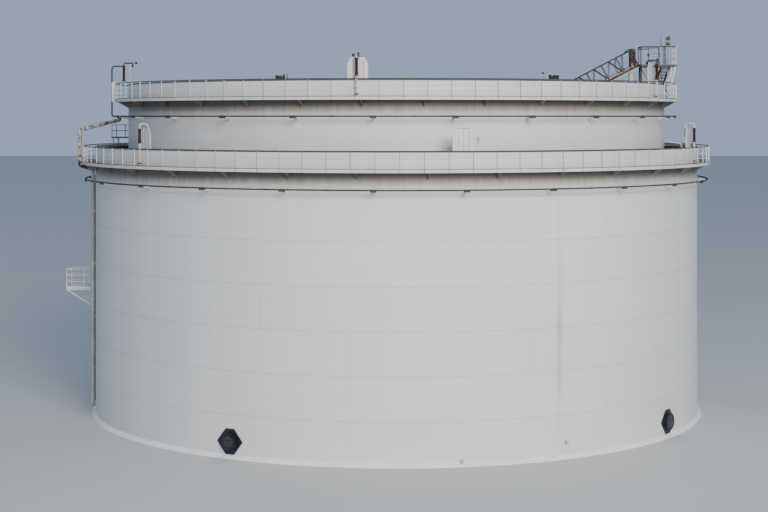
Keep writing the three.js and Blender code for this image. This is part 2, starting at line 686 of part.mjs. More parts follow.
// A straight stair along the walkway, from the platform down to the upper deck
function makeStair() {
  const rise = (GAUGE_FLOOR - UPPER.deck) / (STAIR_STEPS + 1);
  const run = STAIR_STEPS * STAIR_GOING;
  const start = GAUGE_WIDTH / 2 + GAP + STAIR_INSET;
  // A point over one of the two stringers, at a share of the run
  const point = (share, z, side) => {
    const r = STAIR_RADIUS + side * STAIR_WIDTH / 2;
    const head = GAUGE_AZIMUTH + THREE.MathUtils.radToDeg(Math.asin(start / r));
    const foot = head + THREE.MathUtils.radToDeg(run / STAIR_RADIUS);
    return at(head, r, z).lerp(at(foot, r, z), share);
  };
  const pieces = [];
  for (const side of [-1, 1]) {
    const section = box2(
      side - STAIR_STRINGER / STAIR_WIDTH, side + STAIR_STRINGER / STAIR_WIDTH,
      -STAIR_STRINGER_DEPTH / 2, STAIR_STRINGER_DEPTH / 2,
    );
    pieces.push(loft([
      section.map(([across, up]) => point(0, GAUGE_FLOOR - STAIR_STRINGER_TOP + up, across)),
      section.map(([across, up]) => point(1, UPPER.deck + STAIR_STRINGER_FOOT + up, across)),
    ], flat(section)));
    pieces.push(bar(
      point(0, GAUGE_FLOOR + STAIR_RAIL, side), point(1, UPPER.deck + STAIR_RAIL + STAIR_RAIL_FOOT, side),
      STAIR_BAR,
    ));
    STAIR_POSTS.forEach((share, i) => {
      const z = GAUGE_FLOOR - STAIR_STEPS * rise * share;
      const low = i === 0 ? z - STAIR_STRINGER_TOP : UPPER.deck + GAP;
      pieces.push(bar(point(share, low, side), point(share, z + STAIR_RAIL, side), STAIR_BAR));
    });
  }
  const reach = TREAD_DEPTH / (2 * run);
  for (let i = 0; i < STAIR_STEPS; i += 1) {
    const share = (i + 0.5) / STAIR_STEPS;
    const z = GAUGE_FLOOR - rise * (i + 1);
    const outline = box2(share - reach, share + reach, z - TREAD_PLATE, z);
    const ends = [-1, 1].map((side) => outline.map(([along, height]) => point(along, height, side)));
    pieces.push(loft(ends, flat(outline)));
  }
  add('gauge_stair', fuse(pieces), WHITE);
}

function makeGauge() {
  add('guide_pole', rod([
    at(GAUGE_AZIMUTH, POLE_RADIUS, 2 * BOTTOM), at(GAUGE_AZIMUTH, POLE_RADIUS, GAUGE_FLOOR - POLE_BELOW),
  ], POLE_PIPE, POLE_SIDES), PALE);
  const low = GAUGE_FLOOR + HEAD_LOW;
  const post = fin(GAUGE_AZIMUTH, box2(
    HEAD_RADIUS - HEAD_POST, HEAD_RADIUS + HEAD_POST, GAUGE_FLOOR + GAP, low + OVERLAP,
  ), 2 * HEAD_POST, HEAD_SIDE);
  const head = fin(GAUGE_AZIMUTH, box2(
    HEAD_RADIUS - HEAD_DEPTH / 2, HEAD_RADIUS + HEAD_WIDTH - HEAD_DEPTH / 2, low, low + HEAD_HEIGHT,
  ), HEAD_DEPTH, HEAD_SIDE);
  add('gauge_head', fuse([post, head]), STEEL);
}

function makeRoof() {
  const hole = rod([
    at(GAUGE_AZIMUTH, POLE_RADIUS, ROOF_DECK - PONTOON_BELOW - OVERRUN),
    at(GAUGE_AZIMUTH, POLE_RADIUS, ROOF_DECK + PONTOON_ABOVE + OVERRUN),
  ], POLE_PIPE + POLE_SLEEVE, POLE_SIDES);
  const pontoon = arc([
    [PONTOON_INNER, ROOF_DECK - PONTOON_BELOW + PONTOON_RISE], [ROOF_RADIUS, ROOF_DECK - PONTOON_BELOW],
    [ROOF_RADIUS, ROOF_DECK + PONTOON_ABOVE], [PONTOON_INNER, ROOF_DECK + PONTOON_ABOVE - PONTOON_RISE],
  ], 0, 360, FACETS);
  const deck = disc(PONTOON_INNER + OVERRUN, ROOF_DECK - ROOF_PLATE, ROOF_DECK);
  add('floating_roof', cut(fuse([pontoon, deck]), [hole]), GREY);
  add('roof_seal', arc(box2(
    ROOF_RADIUS + GAP, TANK_RADIUS - PLATE - GAP, ROOF_DECK + SEAL_LOW, ROOF_DECK + SEAL_HIGH,
  ), 0, 360, FACETS), DARK);
}

// The ladder's side view is drawn along its slope: how far down it, and how far square above it
function makeLadder() {
  const slope = radians(LADDER_SLOPE);
  const along = (s, up, side) => at(
    GAUGE_AZIMUTH,
    LADDER_HINGE - s * Math.cos(slope) - up * Math.sin(slope),
    GAUGE_FLOOR - s * Math.sin(slope) + up * Math.cos(slope),
    side,
  );
  const pieces = [];
  const half = LADDER_WIDTH / 2;
  // Where each post starts on the bottom chord and ends on the top one; the end post is upright
  const stations = [[LADDER_SIDE * Math.tan(slope), 0]];
  for (let i = 1; i <= LADDER_BAYS; i += 1) {
    const s = (LADDER_LENGTH - LADDER_END) * i / LADDER_BAYS;
    stations.push([s, s]);
  }
  for (const side of [-half, half]) {
    pieces.push(bar(along(0, 0, side), along(LADDER_LENGTH, 0, side), LADDER_STRINGER));
    pieces.push(bar(along(0, LADDER_SIDE, side), along(LADDER_LENGTH - LADDER_CHORD_END, LADDER_SIDE, side),
      LADDER_BAR));
    for (const [from, to] of stations) {
      pieces.push(bar(along(from, 0, side), along(to, LADDER_SIDE, side), LADDER_BAR));
    }
    // A second upright stands before the hinge and carries the top chord's end
    const gate = at(GAUGE_AZIMUTH, LADDER_HINGE - LADDER_GATE, GAUGE_FLOOR + LADDER_GATE_TOP, side);
    pieces.push(bar(along(LADDER_GATE / Math.cos(slope), 0, side), gate, LADDER_BAR));
    pieces.push(bar(along(0, LADDER_SIDE, side), gate, LADDER_BAR));
    const out = Math.sign(side);
    const wheel = [side - out * WHEEL_INSET, side + out * (WHEEL_PLATE + LADDER_STRINGER / 2)];
    pieces.push(rod(wheel.map((s) => along(LADDER_LENGTH, 0, s)), LADDER_WHEEL, WHEEL_SIDES, 0.5));
    pieces.push(fin(GAUGE_AZIMUTH, box2(LADDER_HINGE - LADDER_STRINGER, GAUGE_INNER - GAP,
      GAUGE_FLOOR - GAUGE_SLAB / 2, GAUGE_FLOOR + LADDER_STRINGER / 4), LADDER_BAR, side));
  }
  for (const [s] of stations) {
    pieces.push(bar(along(s, 0, -half), along(s, 0, half), LADDER_BAR));
  }
  add('rolling_ladder', fuse(pieces), RED);
}

function makeTrack() {
  const half = LADDER_WIDTH / 2 + LADDER_STRINGER / 2 + WHEEL_PLATE / 2;
  const pieces = [-half, half].map((side) => fin(GAUGE_AZIMUTH, box2(LADDER_HINGE - TRACK_FAR,
    LADDER_HINGE - TRACK_NEAR, ROOF_DECK + GAP, ROOF_DECK + TRACK_HEIGHT), TRACK_WIDTH, side));
  const first = LADDER_HINGE - TRACK_FAR + TRACK_WIDTH;
  const span = TRACK_FAR - TRACK_NEAR - 2 * TRACK_WIDTH;
  for (let i = 0; i <= TRACK_TIES; i += 1) {
    const r = first + span * i / TRACK_TIES;
    pieces.push(fin(GAUGE_AZIMUTH, box2(
      r - TRACK_WIDTH / 2, r + TRACK_WIDTH / 2, ROOF_DECK + GAP, ROOF_DECK + TRACK_TIE_HEIGHT,
    ), 2 * half));
  }
  add('ladder_track', fuse(pieces), GREY);
}

// A plate of six sides lies on the shell, with a short neck and a round cover before it
function makeManholes() {
  const shellCore = disc(CUP_RADIUS + GAP, 0, 2 * MANHOLE_HEIGHT);
  const tall = MANHOLE_TALL / 2;
  const flatHalf = MANHOLE_FLAT / 2;
  const outline = [
    [MANHOLE_WIDTH / 2, 0], [flatHalf, tall], [-flatHalf, tall],
    [-MANHOLE_WIDTH / 2, 0], [-flatHalf, -tall], [flatHalf, -tall],
  ];
  MANHOLE_AZIMUTHS.forEach((azimuth, i) => {
    const point = (out) => at(azimuth, CUP_RADIUS + out, MANHOLE_HEIGHT);
    const ends = [-OVERRUN, MANHOLE_PLATE].map((out) => (
      outline.map(([side, up]) => at(azimuth, CUP_RADIUS + out, MANHOLE_HEIGHT + up, side))
    ));
    const plate = cut(loft(ends, flat(outline)), [shellCore]);
    const neck = rod([point(MANHOLE_PLATE - OVERLAP), point(MANHOLE_REACH + OVERLAP)], MANHOLE_NECK, MANHOLE_SIDES);
    const cover = rod(
      [point(MANHOLE_REACH), point(MANHOLE_REACH + MANHOLE_COVER_DEPTH)], MANHOLE_COVER, MANHOLE_SIDES,
    );
    add(`manhole_${i + 1}`, fuse([plate, neck, cover]), DARK);
  });
}

makeFoot();
makeShell('outer', CUP_PARTS, CUP_RADIUS, BOTTOM, CUP_TOP);
makeShell('inner', TANK_PARTS, TANK_RADIUS, 2 * BOTTOM, TANK_TOP);
makeWalkway(LOWER);
makeWalkway(UPPER);
makeRailing(LOWER);
makeRailing(UPPER);
makeRingMain(LOWER);
makeRingMain(UPPER);
LOWER_FOAM.forEach((unit, i) => makeFoamUnit(LOWER, i + 1, unit));
UPPER_FOAM.forEach((unit, i) => makeFoamUnit(UPPER, i + 1, unit));
makeSupply();
makeSidePlatform();
makeCrossing();
makeGaugePlatform();
makeStair();
makeGauge();
makeRoof();
makeLadder();
makeTrack();
makeManholes();

export default tank;
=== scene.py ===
from math import asin, ceil, copysign, cos, degrees, hypot, pi, radians, sin, sqrt, tan
from types import SimpleNamespace

import bpy
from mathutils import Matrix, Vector


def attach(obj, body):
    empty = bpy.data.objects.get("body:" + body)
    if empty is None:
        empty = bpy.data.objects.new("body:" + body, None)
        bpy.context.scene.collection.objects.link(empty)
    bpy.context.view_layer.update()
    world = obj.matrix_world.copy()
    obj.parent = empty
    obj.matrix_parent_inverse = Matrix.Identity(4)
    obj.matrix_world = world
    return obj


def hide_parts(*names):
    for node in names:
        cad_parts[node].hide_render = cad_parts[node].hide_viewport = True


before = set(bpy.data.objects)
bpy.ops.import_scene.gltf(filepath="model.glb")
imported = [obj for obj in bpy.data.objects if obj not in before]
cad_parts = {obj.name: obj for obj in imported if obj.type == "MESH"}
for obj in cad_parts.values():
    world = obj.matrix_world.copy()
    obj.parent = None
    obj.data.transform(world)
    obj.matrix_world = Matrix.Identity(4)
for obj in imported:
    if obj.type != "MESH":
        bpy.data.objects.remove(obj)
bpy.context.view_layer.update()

# The tank is a 1:2 scale model. Sizes below are real metres, and model() gives model metres.
MODEL_SCALE = 0.5
# The space left between pieces that meet: GAP at a foot or a plate, SEAT round a shell and the roof
GAP = 0.0006
SEAT = 0.001
# The walls of the frame have 60 flats. A flat's middle is nearer to the axis than its ends by this factor.
FLAT = cos(radians(3))

# Shells
COURSE_HEIGHT = 2.49
PLATES = 12
PLATE = 0.024
BOTTOM = 0.02
CUP_RADIUS = 20.0
CUP_TOP = 17.43
TANK_RADIUS = 17.88
TANK_TOP = 21.48
EVEN_JOINTS = 22.2
ODD_JOINTS = 7.0
WELD_WIDTH = 0.026
WELD_HEIGHT = 0.004
LINING = 0.004
RIM_STRIP = 0.12
WALL_SMOOTH = 30.0
STAIN_AZIMUTH = 27.1
SKIRT_FOOT = 0.236
SKIRT_HEIGHT = 0.22
WALL_BRACKET_AZIMUTH = 14.8
WALL_BRACKET_LOW = 17.9

# Walkways, as in the frame
FASCIA_PLATE = 0.02
DECK_PLATE = 0.04
FASCIA_BELOW = 0.11
FASCIA_ABOVE = 0.1
RAIL_ABOVE = 0.08
POST = 0.022
POST_PROUD = 0.008
TOP_RAIL = 0.032
KNEE_RAIL = 0.02
KNEE_RAILS = (0.66, 0.36)
GUSSET_HEIGHT = 0.5
GUSSET_REACH = 0.72
GUSSETS = 32
GUSSET_AZIMUTH = 4.7
LOWER = SimpleNamespace(
    name="lower", shell=CUP_RADIUS, top=CUP_TOP, outer=20.788, deck=16.4, posts=96, post_azimuth=0.15,
    pipe_radius=20.66, pipe_height=15.33, bracket_azimuth=-3.9, tube_low=0.4,
)
UPPER = SimpleNamespace(
    name="upper", shell=TANK_RADIUS, top=TANK_TOP, outer=18.706, deck=20.45, posts=86, post_azimuth=0.85,
    pipe_radius=18.6, pipe_height=19.41, bracket_azimuth=-4.4, tube_low=0.25,
)
MAIN_BRACKETS = 25
MAIN_RADIUS = 0.05

# Foam units: azimuth, kind, and where a vent ball is from the crossing: inward, sideways and up. A tube
# unit has a foam tube before its board, a low unit has a low board, a plain unit is a board alone, and
# the outside unit is fed by a riser outside the railing.
LOWER_FOAM = [
    (-49, "tube", None), (10.35, "plain", None), (66.6, "tube", None), (128, "tube", None),
    (190, "tube", None), (-110.5, "tube", None),
]
UPPER_FOAM = [
    (-80, "outside", (0.22, 0, 0.02)), (-7.45, "tube", (0, -0.28, 0)), (63.5, "tube", (0, 0.15, 0.37)),
    (138.7, "low", (0, 0.45, 0.07)), (-151.5, "low", (0, 0.8, -0.1)),
]
DARK_ARCH = "upper_foam_unit_3"
FOAM_OFFSET = 0.3
FOAM_PIPE = 0.062
FOAM_PIPE_OUTSIDE = 0.05
FOAM_PIPE_SIDES = 14
FOAM_BEND = 0.2
FOAM_LOOP_BEND = 0.3
FOAM_OUTSIDE = 18.95
FOAM_FEED = 1.21
FOAM_TUBE = 0.08
FOAM_TUBE_DROP = 0.22
FOAM_CROSSING = 1.42
FOAM_CROSSING_LOW = 1.15
FOAM_OUTLET_INSET = 0.22
FOAM_OUTLET_DROP = 0.25
FOAM_OUTLET_DROP_LOW = 0.8
FOAM_LOOP_RISE = 0.1
BOARD_INSET = 0.013
BOARD_PLATE = 0.012
BOARD_BELOW = 0.35
BOARD_WIDTH = 1.18
BOARD_HIGH = 1.3
BOARD_LOW = 0.5
BOARD_CHAMFER = 0.22
BOARD_SHOULDER = 0.4

# Supply pipe and riser
SUPPLY_AZIMUTH = -88
SUPPLY_RADIUS = 20.39
SUPPLY_PIPE = 0.128
SUPPLY_TOP = 15.7
SUPPLY_CLAMPS = (2.5, 6.0, 9.5, 13.0)
SUPPLY_FLANGES = (0.06, 5.2, 10.4, SUPPLY_TOP - 0.02)
# Heights of a dark bar of painted shade behind the supply pipe
SUPPLY_SHADE_BAR = (0.3, 15.2)
RISER_RADIUS = 21.26
RISER_PIPE = 0.118
RISER_FLANGE = 0.165
RISER_ELBOW = 16.12
RISER_TURN = 18.5
RISER_END = 19.17
RISER_FLANGES = (16.6, RISER_TURN - 0.35)
RISER_SLOPE_FLANGES = (0.16, 0.52, 0.86)

# Small stubs at the foot: azimuth, height and pipe radius
STUBS = [(10.1, 0.354, 0.05), (28.2, 1.0, 0.05)]
DRAIN_AZIMUTH = 93
DRAIN_HEIGHT = 17.74

# Platforms
KICK_PLATE = 0.12
SIDE = SimpleNamespace(
    azimuth=-93, inner=CUP_RADIUS * FLAT + GAP, outer=22.4, width=1.4, top=7.75, slab=0.14, rail=1.3,
)
CROSSING = SimpleNamespace(
    azimuth=-101, inner=TANK_RADIUS * cos(radians(1)) + 0.01, outer=20.1, width=1.0, top=17.98, slab=0.08,
    rail=0.85,
)
GAUGE = SimpleNamespace(azimuth=87, inner=16.35, outer=18.7, width=2.2, top=22.85, slab=0.14, rail=1.22)
SIDE_BRACE_DROP = 1.5
GAUGE_LEG_RADIUS = 18.42
HANGER_RADIUS = 16.42
STAIR_STEPS = 11
STAIR_GOING = 0.27
STAIR_WIDTH = 0.54
STAIR_RADIUS = 18.25
STAIR_RAIL = 1.0
NEWEL_RADIUS = 18.3
NEWEL_TURN = 4.6
NEWEL_HEIGHT = 1.06
WHEEL_HEIGHT = 0.82
POLE_RADIUS = 15.8
POLE_PIPE = 0.18
HEAD_RADIUS = 17.93
HEAD_SIDE = -0.6

# Rolling ladder and floating roof
LADDER_LENGTH = 24.0
LADDER_WIDTH = 0.8
LADDER_SLOPE = radians(27.5)
LADDER_SIDE = 1.1
LADDER_HINGE = 16.25
LADDER_GATE = 0.24
LADDER_GATE_TOP = 0.88
LADDER_WHEEL = 0.2
LADDER_BAYS = 20
LADDER_TIES = 56
LADDER_TREADS = 78
HOSE_STEPS = 8
WHEEL_SIDES = 12
TRACK_HEIGHT = 0.2
ROOF_DECK = (
    GAUGE.top - LADDER_LENGTH * sin(LADDER_SLOPE)
    - LADDER_WHEEL * cos(pi / WHEEL_SIDES) - TRACK_HEIGHT - GAP
)
ROOF_RADIUS = 17.6
PONTOON_INNER = 14.8
PONTOON_BELOW = 0.45
PONTOON_ABOVE = 0.4
PONTOON_RISE = 0.1
SLEEVE_HEIGHT = 0.55
HATCHES = 18
HATCH_PLACE = 15.7
DAM_RADIUS = 16.95

MANHOLES = [-28.5, 54.7]
MANHOLE_HEIGHT = 0.96
MANHOLE_PLATE = (0.85, 0.73, 0.28)
MANHOLE_NECK = 0.44
MANHOLE_RING = 0.52
MANHOLE_LID = 0.34
MANHOLE_BOLTS = 20
MANHOLE_DISH = 0.05

# The photograph's camera: level, with its axis beside the tank's, in model metres
FRAME_WIDTH_PX = 768
FRAME_HEIGHT_PX = 512
FOCAL_PX = 1606.67
HORIZON_PX = 116.83
SENSOR_MM = 36.0
CAMERA_PLACE = (-0.405, -54.368, 9.687)
CAMERA_FAR_CLIP = 400.0

# The stage, in model metres
LIGHT_PLACE = Vector((22.0, -81.0, 38.0))
LIGHT_AIM = Vector((0, 0, 6))
LIGHT_ENERGY = 71000
LIGHT_SIZE = 38
LIGHT_TINT = (1.0, 0.95, 0.86)
SKY_TINT = (0.57, 0.73, 1.0, 1.0)
SKY_STRENGTH = 0.57
FLOOR_REACH = 600.0


def model(metres):
    return metres * MODEL_SCALE


def at(azimuth, radius, height, side=0.0):
    """The point at an azimuth, a radius and a height, moved sideways along the tangent."""
    angle = radians(azimuth)
    return Vector((
        model(radius * sin(angle) + side * cos(angle)),
        model(side * sin(angle) - radius * cos(angle)),
        model(height),
    ))


def turns(count, first=0.0):
    """Azimuths at even steps all round."""
    return [first + 360 * i / count for i in range(count)]


def box(r0, r1, z0, z1):
    return [(r0, z0), (r1, z0), (r1, z1), (r0, z1)]


def circle(radius, sides):
    angles = [2 * pi * k / sides for k in range(sides)]
    return [(radius * cos(angle), radius * sin(angle)) for angle in angles]


def add_object(name, data):
    thing = bpy.data.objects.new(name, data)
    bpy.context.scene.collection.objects.link(thing)
    return thing


class Shape:
    """One mesh under way. A place is a radius, a height and a side at its azimuth, or a ready point."""

    def __init__(self, azimuth=0.0):
        self.azimuth = azimuth
        self.points = []
        self.faces = []

    def at(self, place):
        return place if isinstance(place, Vector) else at(self.azimuth, *place)

    def loft(self, sections, ring=False):
        """A skin over equal sections, which closes to a ring or has a face at both ends."""
        size = len(sections[0])
        count = len(sections)
        base = len(self.points)
        for section in sections:
            self.points.extend(self.at(place) for place in section)
        for i in range(count if ring else count - 1):
            here = base + i * size
            there = base + ((i + 1) % count) * size
            for k in range(size):
                nxt = (k + 1) % size
                self.faces.append((here + k, there + k, there + nxt, here + nxt))
        if not ring:
            self.faces.append(tuple(range(base, base + size)))
            self.faces.append(tuple(range(base + (count - 1) * size, base + count * size))[::-1])

    def arc(self, profile, steps=720):
        """A closed profile of radius and height pairs, counter-clockwise, turned about the axis."""
        self.loft([[at(azimuth, r, z) for r, z in profile] for azimuth in turns(steps)], ring=True)

    def hoop(self, radius, height, thick, sides, steps=360):
        """A level round bar all round the tank."""
        self.arc([(radius + r, height + h) for r, h in circle(thick, sides)], steps)

    def fin(self, profile, thickness, side=0.0):
        """A plate on edge along a radius: its outline in radius and height pairs."""
        self.loft([[(r, z, s) for r, z in profile] for s in (side - thickness / 2, side + thickness / 2)])

    def slab(self, r0, r1, z0, z1, thickness, side=0.0):
        self.fin(box(r0, r1, z0, z1), thickness, side)

    def rod(self, places, radius, sides=8, twist=0.0):
        """A pipe or bar through places, mitred where it turns."""
        points = [self.at(place) for place in places]
        legs = [(b - a).normalized() for a, b in zip(points, points[1:])]
        first = legs[0]
        aside = Vector((1, 0, 0)) if abs(first.z) > 0.9 else Vector((0, 0, 1))
        u = aside.cross(first).normalized()
        v = first.cross(u)
        section = []
        for k in range(sides):
            angle = 2 * pi * (k + twist) / sides
            section.append(points[0] + (u * cos(angle) + v * sin(angle)) * model(radius))
        sections = [section]
        for corner, into, out in zip(points[1:], legs, legs[1:] + legs[-1:]):
            normal = (into + out).normalized()
            section = [p + into * ((corner - p).dot(normal) / into.dot(normal)) for p in section]
            sections.append(section)
        self.loft([s[::-1] for s in sections])

    def tube(self, places, radius, sides=12, bend=0.25):
        """A round pipe with its corners rounded to a bend radius."""
        self.rod(round_corners([self.at(place) for place in places], model(bend)), radius, sides)

    def bar(self, start, end, width):
        """A square bar."""
        self.rod([start, end], width * sqrt(0.5), 4, 0.5)

    def rails(self, start, end, levels, radius=0.022):
        """Level rails between two places given by radius and side."""
        for z in levels:
            self.rod([(start[0], z, start[1]), (end[0], z, end[1])], radius, 10)

    def strut(self, start, end, width, side):
        """A square bar between two places given by radius and height."""
        self.bar((*start, side), (*end, side), width)

    def upright(self, r, low, top, radius, sides=10, side=0.0):
        self.rod([(r, low, side), (r, top, side)], radius, sides)

    def flange(self, centre, radius, thickness, sides=16, direction=(0, 0, 1)):
        half = Vector(direction).normalized() * model(thickness) / 2
        self.rod([self.at(centre) - half, self.at(centre) + half], radius, sides)

    def ball(self, centre, radius, rings=8, sides=12):
        sections = []
        for i in range(1, rings):
            lift = pi * i / rings
            drop = -model(radius * cos(lift))
            ring = circle(model(radius * sin(lift)), sides)
            sections.append([self.at(centre) + Vector((x, y, drop)) for x, y in ring][::-1])
        self.loft(sections)

    def floor(self, platform):
        """An edge channel all round a floor, and bearers under it."""
        inner, outer, top, width = platform.inner, platform.outer, platform.top, platform.width
        low = top - platform.slab
        edge = width / 2 - 0.02
        for side in (-edge, edge):
            self.slab(inner, outer, low, top, 0.04, side)
        for r in (inner, outer - 0.04):
            self.slab(r, r + 0.04, low, top, width)
        bearers = max(2, round((outer - inner) / 0.8))
        for i in range(1, bearers):
            r = inner + (outer - inner) * i / bearers
            self.slab(r - 0.02, r + 0.02, low, top - 0.03, width)

    def make(self, name, material, slot, smooth_angle=35.0):
        mesh = bpy.data.meshes.new(name)
        mesh.from_pydata([tuple(p) for p in self.points], [], self.faces)
        mesh.validate()
        mesh.update()
        for polygon in mesh.polygons:
            polygon.use_smooth = True
        mesh.set_sharp_from_angle(angle=radians(smooth_angle))
        mesh.materials.append(MATERIALS[material])
        piece = add_object(name, mesh)
        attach(piece, "root")
        return piece


def shapes(count, azimuth=0.0):
    return [Shape(azimuth) for _ in range(count)]


def round_corners(points, bend, steps=5):
    out = [points[0]]
    for before, corner, after in zip(points, points[1:], points[2:]):
        into = corner - before
        leave = after - corner
        turn = into.angle(leave)
        if turn < 0.02:
            continue
        reach = min(bend * tan(turn / 2), into.length * 0.45, leave.length * 0.45)
        start = corner - into.normalized() * reach
        end = corner + leave.normalized() * reach
        for i in range(steps + 1):
            t = i / steps
            out.append(start * (1 - t) ** 2 + corner * (2 * t * (1 - t)) + end * t ** 2)
    out.append(points[-1])
    return out


def arithmetic(operation, swapped=False):
    """An operator of Value, which adds a math node."""
    def apply(value, other):
        pair = (other, value) if swapped else (value, other)
        return value.paint.math(operation, *pair)
    return apply


class Value:
    """A shader value that takes part in plain arithmetic."""

    def __init__(self, paint, socket):
        self.paint = paint
        self.socket = socket

    __add__ = arithmetic("ADD")
    __sub__ = arithmetic("SUBTRACT")
    __rsub__ = arithmetic("SUBTRACT", swapped=True)
    __mul__ = arithmetic("MULTIPLY")
    __truediv__ = arithmetic("DIVIDE")


class Paint:
    """A builder of procedural materials in the tank's own coordinates. Its base is the colour so far."""

    def __init__(self, name):
        self.material = bpy.data.materials.new(name)
        self.material.use_nodes = True
        self.tree = self.material.node_tree
        self.shader = self.tree.nodes["Principled BSDF"]
        self.place = self.node("TexCoord", {}, "Object")
        self.base = None

    def link(self, source, target):
        if isinstance(source, Value):
            self.tree.links.new(source.socket, target)
        elif target.type == "RGBA":
            target.default_value = (*source, 1.0)
        else:
            target.default_value = source

    def node(self, kind, inputs, output=0, **settings):
        """One of the outputs of a new node with these inputs and settings."""
        node = self.tree.nodes.new("ShaderNode" + kind)
        for key, value in settings.items():
            setattr(node, key, value)
        for key, value in inputs.items():
            self.link(value, node.inputs[key])
        return Value(self, node.outputs[output])

    def math(self, operation, *values):
        return self.node("Math", dict(enumerate(values)), operation=operation)

    def noise(self, scale, detail=3.0, roughness=0.55, stretch=(1, 1, 1), place=None):
        mapped = self.node("Mapping", {"Vector": place or self.place, "Scale": stretch})
        inputs = {"Vector": mapped, "Scale": scale, "Detail": detail, "Roughness": roughness}
        return self.node("TexNoise", inputs, "Fac")

    def step(self, value, low, high):
        """0 below low, 1 above high, smooth between."""
        inputs = {"Value": value, "From Min": low, "From Max": high}
        return self.node("MapRange", inputs, "Result", interpolation_type="SMOOTHSTEP")

    def mix(self, share, a, b):
        return self.node("Mix", {"Factor": share, 6: a, 7: b}, 2, data_type="RGBA")

    def coat(self, share, tint):
        self.base = self.mix(share, self.base, tint)

    def split(self):
        return [self.node("SeparateXYZ", {0: self.place}, k) for k in range(3)]

    def join(self, *values):
        return self.node("CombineXYZ", dict(enumerate(values)))

    def bump(self, height, distance, strength=0.5):
        normal = self.node("Bump", {"Height": height, "Distance": distance, "Strength": strength})
        self.link(normal, self.shader.inputs["Normal"])

    def finish(self, roughness, shine=0.5):
        self.link(self.base, self.shader.inputs["Base Color"])
        self.link(roughness, self.shader.inputs["Roughness"])
        self.link(shine, self.shader.inputs["Specular IOR Level"])
        return self.material


WHITE = (0.79, 0.785, 0.76)
WHITE_COOL = (0.74, 0.75, 0.75)
RUST = (0.19, 0.085, 0.045)
RUST_DARK = (0.16, 0.065, 0.035)
RUST_PALE = (0.42, 0.27, 0.18)
GRIME = (0.30, 0.29, 0.27)


def tank_angles(paint):
    """Azimuth in degrees, radius and height, as shader values."""
    x, y, z = paint.split()
    azimuth = paint.math("DEGREES", paint.math("ARCTAN2", x, y * -1.0))
    return azimuth, paint.math("SQRT", x * x + y * y), z


def near_line(paint, value, period, offset, half_width):
    """1 on lines that repeat with a period, 0 away from them."""
    share = paint.math("FRACT", (value - offset) / period + 0.5) - 0.5
    distance = paint.math("ABSOLUTE", share) * period
    return 1.0 - paint.step(distance, half_width * 0.4, half_width)


def weld_lines(paint, azimuth, height, radius):
    """1 on the welds between plates, and a tone of its own for each plate."""
    course = model(COURSE_HEIGHT)
    weld = model(WELD_WIDTH)
    turn = 360 / PLATES
    row = paint.math("FLOOR", height / course)
    offset = paint.math("MODULO", row, 2.0) * (ODD_JOINTS - EVEN_JOINTS) + EVEN_JOINTS
    seams = near_line(paint, height, course, 0.0, weld)
    joints = near_line(paint, azimuth, turn, offset, degrees(weld / model(radius))) * 0.6
    column = paint.math("FLOOR", (azimuth - offset) / turn)
    plate = paint.join(column, row, 0.0)
    tone = paint.node("TexWhiteNoise", {"Vector": plate}, "Value", noise_dimensions="2D")
    return paint.math("MAXIMUM", seams, joints), tone


def shell_paint(name, radius, deck, stained):
    """White tank paint with weld lines, plate tones and rain streaks, and on the cup one brown stain."""
    paint = Paint(name)
    azimuth, _, height = tank_angles(paint)
    welds, tone = weld_lines(paint, azimuth, height, radius)

    def climb(value, low, high):
        """A step between two heights in real metres."""
        return paint.step(value, model(low), model(high))

    # Rain streaks run down, as the noise is drawn out along the height
    around = paint.join(azimuth * 0.35, height * 0.06, 0.37)
    streak = paint.noise(2.7, 6.0, 0.7, place=around)
    fine = paint.noise(11.0, 4.0, 0.6, place=around)
    paint.base = paint.mix(paint.step(paint.noise(0.22, 3.0, 0.5), 0.35, 0.65), WHITE, WHITE_COOL)
    paint.coat(tone * 0.16, (0.68, 0.68, 0.665))
    paint.coat(paint.step(streak, 0.5, 0.8) * 0.22, (0.60, 0.57, 0.52))
    paint.coat(paint.step(fine, 0.56, 0.78) * 0.10, (0.45, 0.41, 0.35))
    # Brown dirt under the walkway with drips further down, and a band deepest right below it that is partly
    # dirt and partly painted shade
    below = 1.0 - climb(height, deck, deck + 0.1)
    under = climb(height, deck - 2.6, deck - 0.7) * below
    drips = under * paint.step(paint.noise(7.0, 5.0, 0.7, place=around), 0.5, 0.75)
    paint.coat(drips * 0.2, (0.44, 0.36, 0.27))
    ragged = (streak - 0.5) * model(0.35) + height
    # Two bands of dirt and painted shade, deepest right under the walkway, where it shades the wall
    paint.coat(climb(ragged, deck - 1.5, deck - 0.5) * below * 0.68, (0.34, 0.28, 0.225))
    paint.coat(climb(ragged, deck - 0.95, deck - 0.36) * below * 0.82, (0.12, 0.09, 0.066))
    foot = 1.0 - climb(height, 0.0, 1.4)
    paint.coat(foot * paint.step(paint.noise(9.0, 6.0, 0.7), 0.5, 0.75) * 0.3, GRIME)
    if stained:
        # A wide pale band with a narrow core, which fade at the foot and in the upper half
        away = paint.math("ABSOLUTE", azimuth - STAIN_AZIMUTH)
        band = 1.0 - paint.step((streak - 0.5) * 0.5 + away, 0.05, 1.1)
        core = 1.0 - paint.step(away, 0.02, 0.12)
        patch = paint.step(paint.noise(0.9, 4.0, 0.6, stretch=(1, 1, 0.5)), 0.3, 0.7)
        patch = patch * (climb(height, 0.5, 4.0) * (1.0 - climb(height, 8.5, 13.0) * 0.65))
        paint.coat(band * patch * 0.42, (0.50, 0.36, 0.22))
        paint.coat(core * patch * 0.35, (0.42, 0.25, 0.13))
    # Painted light: the shell above the walkway deck is lightened, to make up for the shade of the railing
    # and the deck
    paint.coat(climb(height, deck, deck + 0.2) * 0.5, (0.93, 0.925, 0.90))
    paint.coat(welds * 0.5, (0.40, 0.38, 0.35))
    paint.bump(paint.noise(0.55, 2.0, 0.5) * 0.9 + paint.noise(160.0, 2.0, 0.5) * 0.004, 0.02)
    return paint.finish(paint.noise(3.0, 4.0, 0.6) * 0.22 + 0.42)


